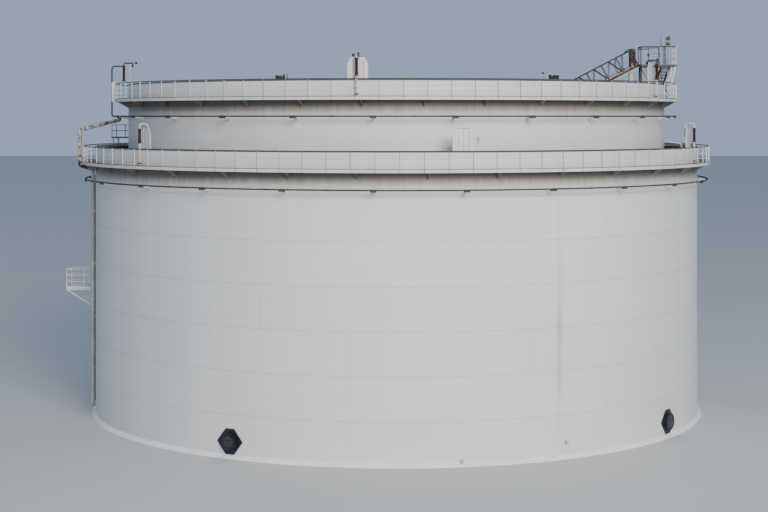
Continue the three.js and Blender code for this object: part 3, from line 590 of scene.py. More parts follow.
def steel_paint(name, base, worn, rust_share, scale, rough, grime, shine=0.5, spread=0.6, rust=RUST):
    """Painted steel with two tones, grime, and rust that starts in spots and runs down."""
    paint = Paint(name)
    paint.base = paint.mix(paint.step(paint.noise(scale * 0.5, 4.0, 0.6), 0.3, 0.7), base, worn)
    paint.coat(paint.step(paint.noise(scale * 1.7, 6.0, 0.7), 0.45, 0.75) * grime, GRIME)
    spots = paint.step(paint.noise(scale * 5.0, 5.0, 0.65), spread, spread + 0.1)
    runs = paint.step(paint.noise(scale * 3.0, 4.0, 0.6, stretch=(1.0, 1.0, 0.12)), spread, spread + 0.2)
    rusty = paint.math("MAXIMUM", spots, runs * 0.6)
    paint.coat(rusty * rust_share, rust)
    paint.bump(paint.noise(scale * 22.0, 3.0, 0.6) + rusty * 0.5, 0.002)
    return paint.finish(rusty * 0.2 + rough, shine)


def grating_paint():
    paint = Paint("deck_grating")
    azimuth, radius, _ = tank_angles(paint)
    bearing = near_line(paint, radius, 0.02, 0.0, 0.006)
    cross = near_line(paint, azimuth, 0.3, 0.0, 0.06)
    bars = paint.math("MAXIMUM", bearing, cross)
    cloud = paint.step(paint.noise(3.0, 5.0, 0.6), 0.35, 0.7)
    paint.base = paint.mix(cloud, (0.36, 0.35, 0.33), (0.24, 0.19, 0.15))
    # The gaps between the bars are painted near black: painted shade for the openings of the grating
    paint.coat((1.0 - bars) * 0.6, (0.08, 0.075, 0.07))
    paint.bump(bars, 0.01, 0.7)
    return paint.finish(0.7)


def roof_paint():
    paint = Paint("roof_plate")
    x, y, _ = paint.split()
    seams_x = near_line(paint, x, model(6.0), 0.0, model(0.04))
    seams_y = near_line(paint, y, model(2.0), 0.0, model(0.04))
    seams = paint.math("MAXIMUM", seams_x, seams_y)
    pools = paint.step(paint.noise(0.5, 5.0, 0.6), 0.45, 0.65)
    tide = paint.step(paint.noise(1.4, 6.0, 0.7), 0.5, 0.7)
    paint.base = paint.mix(pools, (0.44, 0.44, 0.42), (0.30, 0.28, 0.25))
    paint.coat(tide * 0.4, RUST_PALE)
    paint.coat(seams * 0.5, (0.20, 0.18, 0.16))
    paint.bump(paint.noise(0.9, 3.0, 0.5) + seams * 0.2, 0.02)
    return paint.finish(0.6)


# Steel paints: clean and worn tones, share of rust, noise scale, roughness and grime, then where they differ
# from the usual the shine, the noise level at which rust starts, and the rust's colour
STEELS = {
    "inside": ((0.42, 0.42, 0.41), (0.34, 0.33, 0.31), 0.5, 0.8, 0.6, 0.4),
    # The lining is near black: painted shade for the shaded gap inside the cup, with some dirt
    "lining": ((0.035, 0.034, 0.032), (0.055, 0.052, 0.048), 0.3, 0.8, 0.7, 0.1, 0.3),
    "trim": ((0.74, 0.735, 0.715), (0.67, 0.665, 0.64), 0.30, 3.0, 0.5, 0.2),
    "rail": ((0.76, 0.755, 0.735), (0.68, 0.675, 0.65), 0.22, 5.0, 0.5, 0.12),
    "post": ((0.46, 0.44, 0.42), (0.58, 0.56, 0.53), 0.3, 5.0, 0.5, 0.2),
    # Dark paint; on the fascia's top edge and behind the supply pipe it is painted shade
    "edge": ((0.085, 0.078, 0.07), (0.15, 0.14, 0.13), 0.4, 5.0, 0.6, 0.1, 0.3),
    "gusset": ((0.40, 0.36, 0.31), (0.28, 0.235, 0.19), 0.5, 5.0, 0.6, 0.3),
    # Dark paint for the rim curb and the top rail; on the posts' outer edges it is painted shade
    "curb": ((0.05, 0.056, 0.062), (0.085, 0.088, 0.092), 0.35, 4.0, 0.6, 0.1, 0.3),
    "soffit": ((0.20, 0.17, 0.145), (0.13, 0.10, 0.075), 0.6, 5.0, 0.7, 0.4),
    "main": ((0.045, 0.043, 0.04), (0.08, 0.075, 0.07), 0.5, 4.0, 0.6, 0.1, 0.25),
    "pipe": ((0.66, 0.645, 0.61), (0.58, 0.56, 0.52), 0.4, 4.0, 0.5, 0.2),
    "supply": ((0.70, 0.68, 0.63), (0.54, 0.51, 0.46), 0.5, 3.0, 0.6, 0.2),
    "flaking": ((0.68, 0.62, 0.56), (0.52, 0.41, 0.33), 1.0, 2.4, 0.75, 0.2, 0.3, 0.47, RUST_DARK),
    "rust": ((0.26, 0.13, 0.085), (0.40, 0.30, 0.24), 0.8, 6.0, 0.75, 0.3),
    "red": ((0.075, 0.007, 0.010), (0.050, 0.008, 0.010), 0.1, 8.0, 0.5, 0.0, 0.12),
    "ladder_red": ((0.065, 0.024, 0.027), (0.032, 0.021, 0.023), 0.3, 6.0, 0.6, 0.1, 0.2),
    "web": ((0.06, 0.042, 0.032), (0.17, 0.125, 0.09), 0.6, 9.0, 0.6, 0.2, 0.2),
    # Near-black paint for dark parts; on the gauge stair's stringers and treads it is painted shade
    "dark": ((0.028, 0.03, 0.034), (0.055, 0.055, 0.058), 0.35, 6.0, 0.5, 0.1, 0.3),
    "manhole": ((0.009, 0.015, 0.022), (0.022, 0.032, 0.043), 0.2, 5.0, 0.42, 0.05, 0.35),
    "lid": ((0.036, 0.041, 0.043), (0.052, 0.056, 0.057), 0.2, 5.0, 0.4, 0.05, 0.3),
    # Bright paint for the foot skirt; on the side platform's frame it is painted light
    "skirt": ((0.93, 0.92, 0.89), (0.87, 0.86, 0.83), 0.25, 3.0, 0.5, 0.12),
    "grey": ((0.22, 0.23, 0.24), (0.32, 0.33, 0.34), 0.15, 8.0, 0.45, 0.2),
    "seal": ((0.03, 0.03, 0.032), (0.06, 0.06, 0.06), 0.1, 4.0, 0.75, 0.2),
}
MATERIALS = {name: steel_paint(name, *values) for name, values in STEELS.items()}
MATERIALS["cup_shell"] = shell_paint("cup_shell", CUP_RADIUS, LOWER.deck, True)
MATERIALS["tank_shell"] = shell_paint("tank_shell", TANK_RADIUS, UPPER.deck, False)
MATERIALS["grating"] = grating_paint()
MATERIALS["roof"] = roof_paint()


def repaint(node, material):
    """A better material in the slot of a node that keeps its own mesh."""
    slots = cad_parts[node].data.materials
    slots.clear()
    slots.append(MATERIALS[material])


def make_shell(name, parts, radius, low, top, material, lining):
    """One wall of courses with its weld beads; the courses come from the ground up."""
    wall, inside, strip, beads, curb = shapes(5)
    skin = radius - PLATE
    wall.arc(box(skin, radius, low, top))
    piece = wall.make(f"{name}_shell_wall", material, "shell_paint", WALL_SMOOTH)
    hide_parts(*[f"{name}_shell_{i + 1}" for i in range(parts)])
    # Inside the wall a lining below a rim strip; on the cup the lining's near-black paint is painted shade
    # for the shaded gap
    inside.arc(box(skin - LINING, skin, low, top - RIM_STRIP))
    inside.make(f"{name}_shell_lining", lining, "shell_paint", WALL_SMOOTH)
    strip.arc(box(skin - LINING, skin, top - RIM_STRIP, top))
    strip.make(f"{name}_shell_rim_strip", "post", "shell_paint", WALL_SMOOTH)
    half = WELD_WIDTH / 2
    inner = radius - 0.002
    outer = radius + WELD_HEIGHT
    for row in range(1, ceil((top - 0.3) / COURSE_HEIGHT)):
        z = row * COURSE_HEIGHT
        beads.arc([(inner, z - half), (outer, z - half * 0.4), (outer, z + half * 0.4), (inner, z + half)])
    for row in range(ceil(top / COURSE_HEIGHT)):
        z0 = max(row * COURSE_HEIGHT, low) + half
        z1 = min((row + 1) * COURSE_HEIGHT, top) - half
        for beads.azimuth in turns(PLATES, ODD_JOINTS if row % 2 else EVEN_JOINTS):
            beads.slab(inner, outer, z0, z1, WELD_WIDTH * 0.7)
    beads.make(f"{name}_shell_welds", material, "shell_paint")
    curb.arc(box(radius - 0.012, radius + 0.035, top - 0.03, top + 0.03))
    curb.make(f"{name}_shell_curb", "curb", "shell_paint")


def make_foot():
    skirt, bracket, stubs = shapes(3)
    inner = CUP_RADIUS + SEAT
    skirt.arc([(inner, 0.0), (CUP_RADIUS + SKIRT_FOOT, 0.0), (inner, SKIRT_HEIGHT)])
    piece = skirt.make("foot_skirt", "skirt", "shell_paint")
    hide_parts("base_skirt")
    for node in ("cup_bottom", "inner_bottom"):
        repaint(node, "inside")
    # A small bracket on the inner tank's wall, beside the plain board
    bracket.azimuth = WALL_BRACKET_AZIMUTH
    low = WALL_BRACKET_LOW
    bracket.slab(TANK_RADIUS - 0.01, TANK_RADIUS + 0.08, low, low + 0.35, 0.05)
    bracket.slab(TANK_RADIUS - 0.01, TANK_RADIUS + 0.1, low + 0.22, low + 0.3, 0.14, -0.05)
    bracket.make("inner_wall_bracket", "post", "walkway_paint")
    # Two small stubs near the foot
    for stubs.azimuth, z, radius in STUBS:
        stubs.rod([(CUP_RADIUS - 0.01, z), (CUP_RADIUS + 0.3, z)], radius, 16)
        for r in (CUP_RADIUS + 0.27, CUP_RADIUS + 0.31):
            stubs.rod([(r - 0.014, z), (r + 0.014, z)], radius * 1.8, 16)
    stubs.make("foot_stubs", "pipe", "pipe_paint")


def make_walkway(ring):
    name, shell, outer, deck = ring.name, ring.shell, ring.outer, ring.deck
    trim, edge, plate, soffit, gussets = shapes(5)
    inside = outer - FASCIA_PLATE
    wall = shell + SEAT
    foot = deck - FASCIA_BELOW
    level = deck + FASCIA_ABOVE
    middle = deck - DECK_PLATE / 2
    low = deck - DECK_PLATE
    trim.arc(box(inside, outer, foot, level))
    # A lip under the fascia
    trim.arc(box(inside - 0.06, inside, foot, foot + 0.015))
    piece = trim.make(f"{name}_walkway_trim", "trim", "walkway_paint")
    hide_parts(*[f"{name}_walkway_{i + 1}" for i in range(4)])
    # A dark strip along the fascia's top edge: painted shade for the shadow gap at the deck's edge
    edge.arc(box(inside - 0.004, outer + POST_PROUD, level - 0.03, level + 0.004))
    edge.make(f"{name}_walkway_edge", "edge", "walkway_paint")
    plate.arc(box(wall + 0.001, inside, middle, deck))
    plate.make(f"{name}_walkway_deck", "grating", "walkway_paint")
    soffit.arc(box(wall + 0.001, inside, low, middle))
    # Bearers under the deck, four to each stretch between gussets
    bearers = 4 * GUSSETS
    for soffit.azimuth in turns(bearers, GUSSET_AZIMUTH + 180 / bearers):
        soffit.slab(shell + 0.01, inside, low - 0.07, low, 0.04)
    soffit.make(f"{name}_walkway_soffit", "soffit", "walkway_paint")
    tip = shell + GUSSET_REACH
    heel = deck - GUSSET_HEIGHT
    for gussets.azimuth in turns(GUSSETS, GUSSET_AZIMUTH):
        gussets.fin([(wall, heel), (shell + 0.03, heel), (tip, foot), (tip, low), (wall, low)], 0.02)
    gussets.make(f"{name}_walkway_gussets", "gusset", "walkway_paint")


def make_railing(ring):
    name, outer, deck, top = ring.name, ring.outer, ring.deck, ring.top
    rail, dark = shapes(2)
    line = outer - FASCIA_PLATE - 0.03
    foot = deck - FASCIA_BELOW
    head = top + RAIL_ABOVE / 2
    face = outer + POST_PROUD
    # Posts are flat bars on edge, bolted to the fascia; their dark outer edges are painted shade for the
    # shaded side of each post
    for azimuth in turns(ring.posts, ring.post_azimuth):
        rail.azimuth = azimuth
        dark.azimuth = azimuth
        rail.slab(face - 0.05, face, foot, head, POST)
        dark.slab(face, face + 0.005, foot, head, POST)
        for z in (deck - 0.06, deck + 0.04):
            rail.rod([(outer, z, -POST), (outer, z, POST)], 0.012, 6)
    for share in KNEE_RAILS:
        rail.hoop(line, deck + (top - deck) * share, KNEE_RAIL, 8)
    dark.hoop(line, top + RAIL_ABOVE - TOP_RAIL, TOP_RAIL, 8)
    piece = rail.make(f"{name}_railing", "rail", "railing_paint")
    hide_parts(*[f"{name}_railing_{i}" for i in range(1, 5)])
    dark.make(f"{name}_railing_top", "curb", "railing_paint")


def make_ring_main(ring):
    name, shell, radius, height = ring.name, ring.shell, ring.pipe_radius, ring.pipe_height
    pipe, arms = shapes(2)
    under = height - MAIN_RADIUS
    pipe.hoop(radius, height, MAIN_RADIUS, 10, 480)
    for i, azimuth in enumerate(turns(MAIN_BRACKETS, ring.bracket_azimuth)):
        pipe.azimuth = azimuth
        arms.azimuth = azimuth
        arms.slab(shell + SEAT, radius + 0.07, under - 0.05, under, 0.05)
        arms.bar((shell + 0.02, under - 0.17), (shell + 0.35, under - 0.04), 0.04)
        # A saddle under the pipe and a strap over it
        pipe.slab(radius - 0.06, radius + 0.075, under - 0.07, under + 0.03, 0.36)
        pipe.rod([(radius + r, height + h) for r, h in circle(MAIN_RADIUS + 0.012, 16)[:9]], 0.01, 6)
        # A welded coupling midway between every second pair of brackets
        if i % 2 == 0:
            pipe.azimuth = azimuth + 180 / MAIN_BRACKETS
            pipe.rod([(radius, height, -0.04), (radius, height, 0.04)], MAIN_RADIUS + 0.008, 12)
    piece = pipe.make(f"{name}_ring_main_pipe", "main", "ring_main_paint")
    arms.make(f"{name}_ring_main_arms", "trim", "ring_main_paint")
    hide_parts(f"{name}_ring_main")


def make_board(ring, node, azimuth, face, high):
    """A splash board inside the rim: folded edges, two hooks over the rim and upright folds."""
    top = ring.top
    half = BOARD_WIDTH / 2
    shoulder = high - BOARD_SHOULDER
    plate, folds = shapes(2, azimuth)
    outline = [
        (-half, top - BOARD_BELOW), (half, top - BOARD_BELOW), (half, shoulder),
        (half - BOARD_CHAMFER, high), (BOARD_CHAMFER - half, high), (-half, shoulder),
    ]
    plate.loft([[(r, z, s) for s, z in outline] for r in (face - BOARD_PLATE, face)])
    for (s0, z0), (s1, z1) in zip(outline, outline[1:] + outline[:1]):
        plate.bar((face - 0.03, z0, s0 * 0.985), (face - 0.03, z1, s1 * 0.985), 0.035)
    for side in (-0.42, 0.42):
        plate.slab(face, ring.shell + 0.05, top + 0.03, top + 0.06, 0.06, side)
    for side in (-0.26, 0.0, 0.34):
        folds.slab(face, face + 0.004, top - 0.3, high - 0.06, 0.018, side)
    folds.slab(face - 0.01, face + 0.006, high - 0.012, high + 0.012, BOARD_WIDTH - 2 * BOARD_CHAMFER)
    folds.make(f"{node}_folds", "edge", "walkway_paint")
    white = plate.make(f"{node}_board", "trim", "walkway_paint")
    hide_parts(node)


def make_foam_unit(ring, number, azimuth, kind, ball):
    """A board and, but for a plain unit, its riser, its arch over the rim, its foam tube and its valves."""
    top, deck = ring.top, ring.deck
    node = f"{ring.name}_foam_unit_{number}"
    low_unit = kind == "low"
    outside = kind == "outside"
    looped = ring is LOWER
    face = (ring.shell - PLATE - GAP) * FLAT - BOARD_INSET
    make_board(ring, node, azimuth, face, top + (BOARD_LOW if low_unit else BOARD_HIGH))
    if kind == "plain":
        return
    pipe, arch, tube, dark, case = shapes(5, azimuth)
    radius = ring.shell + FOAM_OFFSET
    riser = FOAM_OUTSIDE if outside else radius
    feed = top + FOAM_FEED
    crossing = top + (FOAM_CROSSING_LOW if low_unit else FOAM_CROSSING) + (FOAM_LOOP_RISE if looped else 0)
    end = crossing - (FOAM_OUTLET_DROP_LOW if low_unit or looped else FOAM_OUTLET_DROP)
    outlet = face - FOAM_OUTLET_INSET
    over = [(radius, crossing), (outlet, crossing), (outlet, end)]
    if outside:
        main = ring.pipe_height
        start = [(ring.pipe_radius, main), (riser, main), (riser, feed), (radius, feed)]
        pipe.tube([*start, *over], FOAM_PIPE_OUTSIDE, FOAM_PIPE_SIDES, FOAM_BEND)
    elif low_unit:
        pipe.tube([(riser, deck), *over], FOAM_PIPE, FOAM_PIPE_SIDES, FOAM_BEND)
    else:
        pipe.upright(riser, deck, crossing - 0.3, FOAM_PIPE, FOAM_PIPE_SIDES)
        bend = FOAM_LOOP_BEND if looped else FOAM_BEND
        arch.tube([(riser, crossing - 0.31), *over], FOAM_PIPE, FOAM_PIPE_SIDES, bend)
        arch.make(f"{node}_arch", "main" if node == DARK_ARCH else "pipe", "pipe_paint")
    pipe.flange((outlet, end), 0.09, 0.03)
    pipe.slab(outlet, face, end + 0.03, end + 0.08, 0.05)
    pipe.make(f"{node}_riser", "main" if outside else "pipe", "pipe_paint")
    # The foam tube, with a dark flange at both ends and dark vents round its foot
    low = top + ring.tube_low
    high = crossing - FOAM_TUBE_DROP if low_unit else feed
    tube.upright(radius, low, high, FOAM_TUBE, 16)
    for z in (low + 0.16, high - 0.12):
        tube.flange((radius, z), FOAM_TUBE + 0.025, 0.025)
    tube.make(f"{node}_tube", "red", "foam_unit_paint")
    for z in (low, high):
        dark.flange((radius, z), FOAM_TUBE + 0.045, 0.07)
    for r, s in circle(FOAM_TUBE, 8):
        dark.slab(radius + r - 0.008, radius + r + 0.008, low + 0.05, low + 0.14, 0.02, s)
    if low_unit:
        # Two valve cases beside the arch, the wide one on the side away from the tank's middle plane
        away = 1 if azimuth < 0 else -1
        for side, width, rise in ((0.34, 0.46, 1.06), (-0.25, 0.25, 1.19)):
            dark.slab(radius - 0.1, radius + 0.1, top + 0.72, top + rise, width, side * away)
        dark.bar((radius, top + 0.8, -0.3), (radius, top + 0.8, 0.3), 0.08)
    elif not outside and not looped:
        dark.slab(radius - 0.06, radius + 0.06, crossing - 0.12, crossing + 0.12, 0.1, 0.1)
        dark.flange((outlet, end + 0.1), 0.12, 0.16)
    if ball is not None:
        # A ball on a thin arm beside the outlet
        inward, side, up = ball
        middle = (outlet - inward, crossing + up, side)
        dark.bar((outlet, crossing), middle, 0.03)
        dark.ball(middle, 0.085)
    if outside:
        case.slab(riser - 0.2, riser + 0.02, deck - 0.1, top + 0.18, 0.2)
        case.slab(ring.outer - 0.06, riser, deck - 0.06, deck + 0.02, 0.08)
        case.make(f"{node}_case", "trim", "walkway_paint")
    else:
        for z in (deck + 0.06, deck + 0.22):
            dark.flange((riser, z), 0.12, 0.06)
    dark.make(f"{node}_vents", "dark", "foam_unit_paint")


def make_supply():
    pipe, shade_bar, riser, elbow = shapes(4, SUPPLY_AZIMUTH)
    wall = CUP_RADIUS + 0.002
    pipe.upright(SUPPLY_RADIUS, 0.04, SUPPLY_TOP, SUPPLY_PIPE, 18)
    pipe.slab(CUP_RADIUS + SKIRT_FOOT + GAP, SUPPLY_RADIUS + 0.2, 0.0, 0.04, 0.4)
    for z in SUPPLY_FLANGES:
        pipe.flange((SUPPLY_RADIUS, z), SUPPLY_PIPE + 0.055, 0.035, 18)
    for z in SUPPLY_CLAMPS:
        pipe.slab(wall, SUPPLY_RADIUS, z, z + 0.08, 0.08)
        pipe.upright(SUPPLY_RADIUS, z, z + 0.08, SUPPLY_PIPE + 0.012, 18)
        pipe.slab(wall, CUP_RADIUS + 0.02, z - 0.1, z + 0.18, 0.26)
    piece = pipe.make("supply_pipe_run", "supply", "pipe_paint")
    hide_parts("foam_supply_pipe")
    # A dark flat bar behind the pipe: painted shade for the shadow between the pipe and the wall
    shade_bar.slab(CUP_RADIUS + 0.004, SUPPLY_RADIUS - SUPPLY_PIPE + 0.02, *SUPPLY_SHADE_BAR, 0.05)
    shade_bar.make("supply_pipe_shade_bar", "edge", "pipe_paint")
    bend = (RISER_RADIUS, RISER_ELBOW)
    short = [(RISER_RADIUS - 0.45, RISER_ELBOW - 0.155), bend, (RISER_RADIUS, RISER_ELBOW + 0.25)]
    elbow.tube(short, 0.124, 16)
    elbow.make("foam_riser_elbow", "dark", "rusted_pipe")
    turn = riser.at((RISER_RADIUS, RISER_TURN))
    over = riser.at((UPPER.pipe_radius, RISER_END))
    riser.tube([
        (SUPPLY_RADIUS, SUPPLY_TOP), (SUPPLY_RADIUS, SUPPLY_TOP + 0.12), bend, turn, over,
        (UPPER.pipe_radius, UPPER.pipe_height - MAIN_RADIUS),
    ], RISER_PIPE, 16)
    for z in RISER_FLANGES:
        riser.flange((RISER_RADIUS, z), RISER_FLANGE, 0.05)
    # Flanges on the slope over the gap
    for share in RISER_SLOPE_FLANGES:
        riser.flange(turn.lerp(over, share), RISER_FLANGE, 0.05, direction=over - turn)
    rusty = riser.make("foam_riser_run", "flaking", "rusted_pipe")
    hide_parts("foam_riser")


def make_grating(name, platform, pitch=0.06):
    """Bearing bars along the platform and cross bars over them."""
    inner, outer, top, width = platform.inner, platform.outer, platform.top, platform.width
    shape = Shape(platform.azimuth)
    count = int(width / pitch)
    for i in range(count + 1):
        side = -width / 2 + 0.03 + (width - 0.06) * i / count
        shape.slab(inner + 0.02, outer - 0.02, top - 0.03, top, 0.008, side)
    count = int((outer - inner) / (pitch * 3))
    for i in range(count + 1):
        r = inner + 0.03 + (outer - inner - 0.06) * i / count
        shape.slab(r - 0.004, r + 0.004, top - 0.012, top, width - 0.06)
    shape.make(name, "grey", "instrument_grey")


def make_side_platform():
    inner, outer, top = SIDE.inner, SIDE.outer, SIDE.top
    half = SIDE.width / 2 - 0.025
    far = outer - 0.035
    low = top - SIDE.slab
    foot = low - SIDE_BRACE_DROP
    kick = top + KICK_PLATE
    levels = [top + SIDE.rail * share for share in (0.985, 0.66, 0.34)]
    body = Shape(SIDE.azimuth)
    body.floor(SIDE)
    for side in (-half, half):
        body.strut((inner + 0.03, foot + 0.06), (outer - 0.06, low + 0.02), 0.07, side)
        body.slab(inner - 0.02, inner + 0.03, foot - 0.1, top, 0.2, side)
        for r in (inner + 0.04, (inner + outer) / 2, far):
            body.upright(r, top - 0.02, top + SIDE.rail, 0.034, side=side)
        body.rails((inner + 0.02, side), (far, side), levels, 0.03)
        body.slab(inner, outer, top, kick, 0.01, side * 1.02)
    body.rails((far, -half), (far, half), levels, 0.03)
    body.slab(outer - 0.02, outer - 0.01, top, kick, SIDE.width)
    # The frame takes the bright skirt paint: painted light on a frame that stands in the tank's shade
    piece = body.make("side_platform_frame", "skirt", "railing_paint")
    make_grating("side_platform_grating", SIDE)
    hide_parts("side_platform")


def make_crossing():
    """The narrow floor over the gap at the left, with its rails."""
    inner, outer, top = CROSSING.inner, CROSSING.outer, CROSSING.top
    half = CROSSING.width / 2 - 0.04
    low = top - CROSSING.slab
    levels = [top + CROSSING.rail * share for share in (0.98, 0.5)]
    body, legs = shapes(2, CROSSING.azimuth)
    body.floor(CROSSING)
    for side in (-half, half):
        legs.slab(CUP_RADIUS - 0.1, CUP_RADIUS, CUP_TOP + 0.03, low, 0.05, side)
        body.slab(inner - 0.02, inner + 0.01, low - 0.25, top, 0.15, side)
        for r in (18.2, 19.1, outer - 0.03):
            body.upright(r, low, top + CROSSING.rail, 0.025, side=side)
        body.rails((inner + 0.02, side), (outer - 0.03, side), levels)
    piece = body.make("crossing_platform_frame", "curb", "railing_paint")
    legs.make("crossing_platform_legs", "rail", "railing_paint")
    make_grating("crossing_platform_grating", CROSSING)
    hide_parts("crossing_platform")


def make_drain():
    """A pale pipe from the inner tank down into the gap at the right."""
    drain = Shape(DRAIN_AZIMUTH)
    places = [(TANK_RADIUS - 0.01, DRAIN_HEIGHT), (19.5, DRAIN_HEIGHT - 0.18), (19.56, DRAIN_HEIGHT - 0.54)]
    drain.tube(places, 0.045, 12, 0.12)
    drain.make("gap_drain_pipe", "pipe", "pipe_paint")


def make_gauge_platform():
    half = GAUGE.width / 2
    rail_half = half - 0.035
    deck = UPPER.deck
    low = GAUGE.top - GAUGE.slab
    top = GAUGE.top + GAUGE.rail
    rail_low = GAUGE.top - 0.05
    near = GAUGE.inner + 0.025
    far = GAUGE.outer - 0.025
    leg = GAUGE_LEG_RADIUS - 0.035
    wall = hypot((TANK_RADIUS - PLATE) * FLAT, half) - half * half / TANK_RADIUS - 0.05
    levels = [top - 0.022, GAUGE.top + GAUGE.rail * 0.68, GAUGE.top + GAUGE.rail * 0.36]
    stair_edge = STAIR_RADIUS - STAIR_WIDTH / 2 - 0.175
    ladder_edge = LADDER_WIDTH / 2 + 0.15
    body, thin, mid, end_rail = shapes(4, GAUGE.azimuth)
    body.floor(GAUGE)
    # Legs on the walkway, and bars from the wall
    for side in (0.1 - half, half - 0.1):
        end_rail.strut((leg, deck), (leg, low + 0.02), 0.065, side)
        end_rail.slab(leg - 0.08, leg + 0.08, deck, deck + 0.02, 0.16, side)
        thin.strut((wall - 0.04, TANK_TOP - 1.0), (wall - 0.04, low), 0.05, side)
        thin.strut((wall - 0.04, TANK_TOP - 0.9), (GAUGE.inner + 0.2, low + 0.02), 0.045, side)
        thin.strut((wall, TANK_TOP + 0.1), (leg, deck + 0.1), 0.035, side)
    # Rails along both sides, and beside the ladder's hinge
    for side, end in ((-rail_half, far - 0.03), (rail_half, stair_edge)):
        thin.rails((near, side), (end, side), levels[:1], 0.028)
        thin.rails((near, side), (near + 0.75, side), [top - 0.13], 0.02)
        mid.rails((near, side), (end, side), levels[1:], 0.012)
        for r in (near, (near + end) / 2):
            thin.upright(r, rail_low, top, 0.018, side=side)
    thin.upright(stair_edge, rail_low, top, 0.018, side=rail_half)
    for side in (-1, 1):
        thin.rails((near, side * rail_half), (near, side * ladder_edge), levels[:1], 0.028)
        thin.upright(near, rail_low, top, 0.018, side=side * ladder_edge)
    # An arm towards the ladder that carries a lamp, and hangers over the ladder
    lamp = (near - 0.24, top - 0.02, -ladder_edge)
    thin.bar((near, top - 0.05, -ladder_edge), lamp, 0.05)
    thin.strut((near, top - 0.2), (near - 0.2, top - 0.05), 0.035, -ladder_edge)
    for side in (-0.55, 0.55):
        thin.strut((HANGER_RADIUS, TANK_TOP - 0.9), (HANGER_RADIUS, low), 0.1, side)
        thin.strut((HANGER_RADIUS, TANK_TOP - 0.8), (wall - 0.06, TANK_TOP - 0.95), 0.06, side)
    thin.make("gauge_platform_bars", "dark", "walkway_paint")
    mid.make("gauge_platform_mid_rails", "post", "walkway_paint")
    end_rail.ball(lamp, 0.08)
    heel = GAUGE_LEG_RADIUS - 0.01
    under = low + 0.02
    knee = [(heel, low - 1.19), (GAUGE.outer - 0.01, under), (GAUGE.outer - 0.14, under), (heel, low - 1.05)]
    for side in (0.1 - half, half - 0.1):
        end_rail.fin(knee, 0.05, side)
    end_rail.rails((far, -rail_half), (far, rail_half), levels, 0.02)
    for side in (-rail_half, -rail_half / 3, rail_half / 3, rail_half):
        end_rail.upright(far, rail_low, top, 0.025, side=side)
    end_rail.make("gauge_platform_end_rail", "rail", "walkway_paint")
    piece = body.make("gauge_platform_frame", "edge", "walkway_paint")
    make_grating("gauge_platform_grating", GAUGE)
    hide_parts("gauge_platform")


def make_stair():
    top, bottom = GAUGE.top, UPPER.deck
    rise = (top - bottom) / (STAIR_STEPS + 1)
    run = STAIR_STEPS * STAIR_GOING
    start = GAUGE.width / 2 + GAP + 0.0255
    stringers, rails, treads = shapes(3)

    def point(share, z, side):
        """Over one of the two stringers, at a share of the run."""
        r = STAIR_RADIUS + side * STAIR_WIDTH / 2
        head = GAUGE.azimuth + degrees(asin(start / r))
        foot = head + degrees(run / STAIR_RADIUS)
        return at(head, r, z).lerp(at(foot, r, z), share)

    def plank(share, width, low, high):
        reach = width / (2 * run)
        corners = box(share - reach, share + reach, low, high)
        treads.loft([[point(s, z, side) for s, z in corners] for side in (-1, 1)])

    for side in (-1, 1):
        # A web between two flanges
        for up, reach, tall in ((-0.185, 0.13, 0.03), (-0.1, 0.05, 0.16), (-0.015, 0.13, 0.03)):
            section = box(-reach, reach, -tall / 2, tall / 2)
            ends = ((0, top + up), (1, bottom + 0.25 + up))
            stringers.loft([[point(share, level + z, side + s) for s, z in section] for share, level in ends])
        for level, width in ((STAIR_RAIL, 0.042), (STAIR_RAIL * 0.5, 0.032)):
            rails.bar(point(0, top + level, side), point(1, bottom + 0.2 + level, side), width)
        for share in (0.02, 0.34, 0.67, 0.98):
            z = top - STAIR_STEPS * rise * share
            foot = bottom if share > 0.9 else z - 0.1
            rails.bar(point(share, foot, side), point(share, z + STAIR_RAIL, side), 0.042)
    # A dark post with a hand wheel at the stair's foot
    stringers.azimuth = GAUGE.azimuth + NEWEL_TURN
    stringers.bar((NEWEL_RADIUS, bottom), (NEWEL_RADIUS, bottom + NEWEL_HEIGHT), 0.06)
    hub = stringers.at((NEWEL_RADIUS, bottom + WHEEL_HEIGHT))
    toward = at(GAUGE.azimuth, 0, 0, -1).normalized()
    wheel = hub + toward * model(0.14)
    stringers.rod([hub, wheel], 0.02)
    stringers.flange(wheel, 0.11, 0.03, direction=toward)
    for i in range(STAIR_STEPS):
        z = top - rise * (i + 1)
        for k in range(7):
            plank((i + 0.5 + (k - 3) * 0.14) / STAIR_STEPS, 0.012, z - 0.035, z)
        for share in (0.08, 0.94):
            plank((i + share) / STAIR_STEPS, 0.02, z - 0.06, z + 0.004)
    # The stringers and treads take the dark paint: painted shade for their shaded sides seen from below; the
    # newel post has it too
    piece = stringers.make("gauge_stair_stringers", "dark", "walkway_paint")
    rails.make("gauge_stair_rails", "trim", "walkway_paint")
    treads.make("gauge_stair_treads", "dark", "walkway_paint")
    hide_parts("gauge_stair")


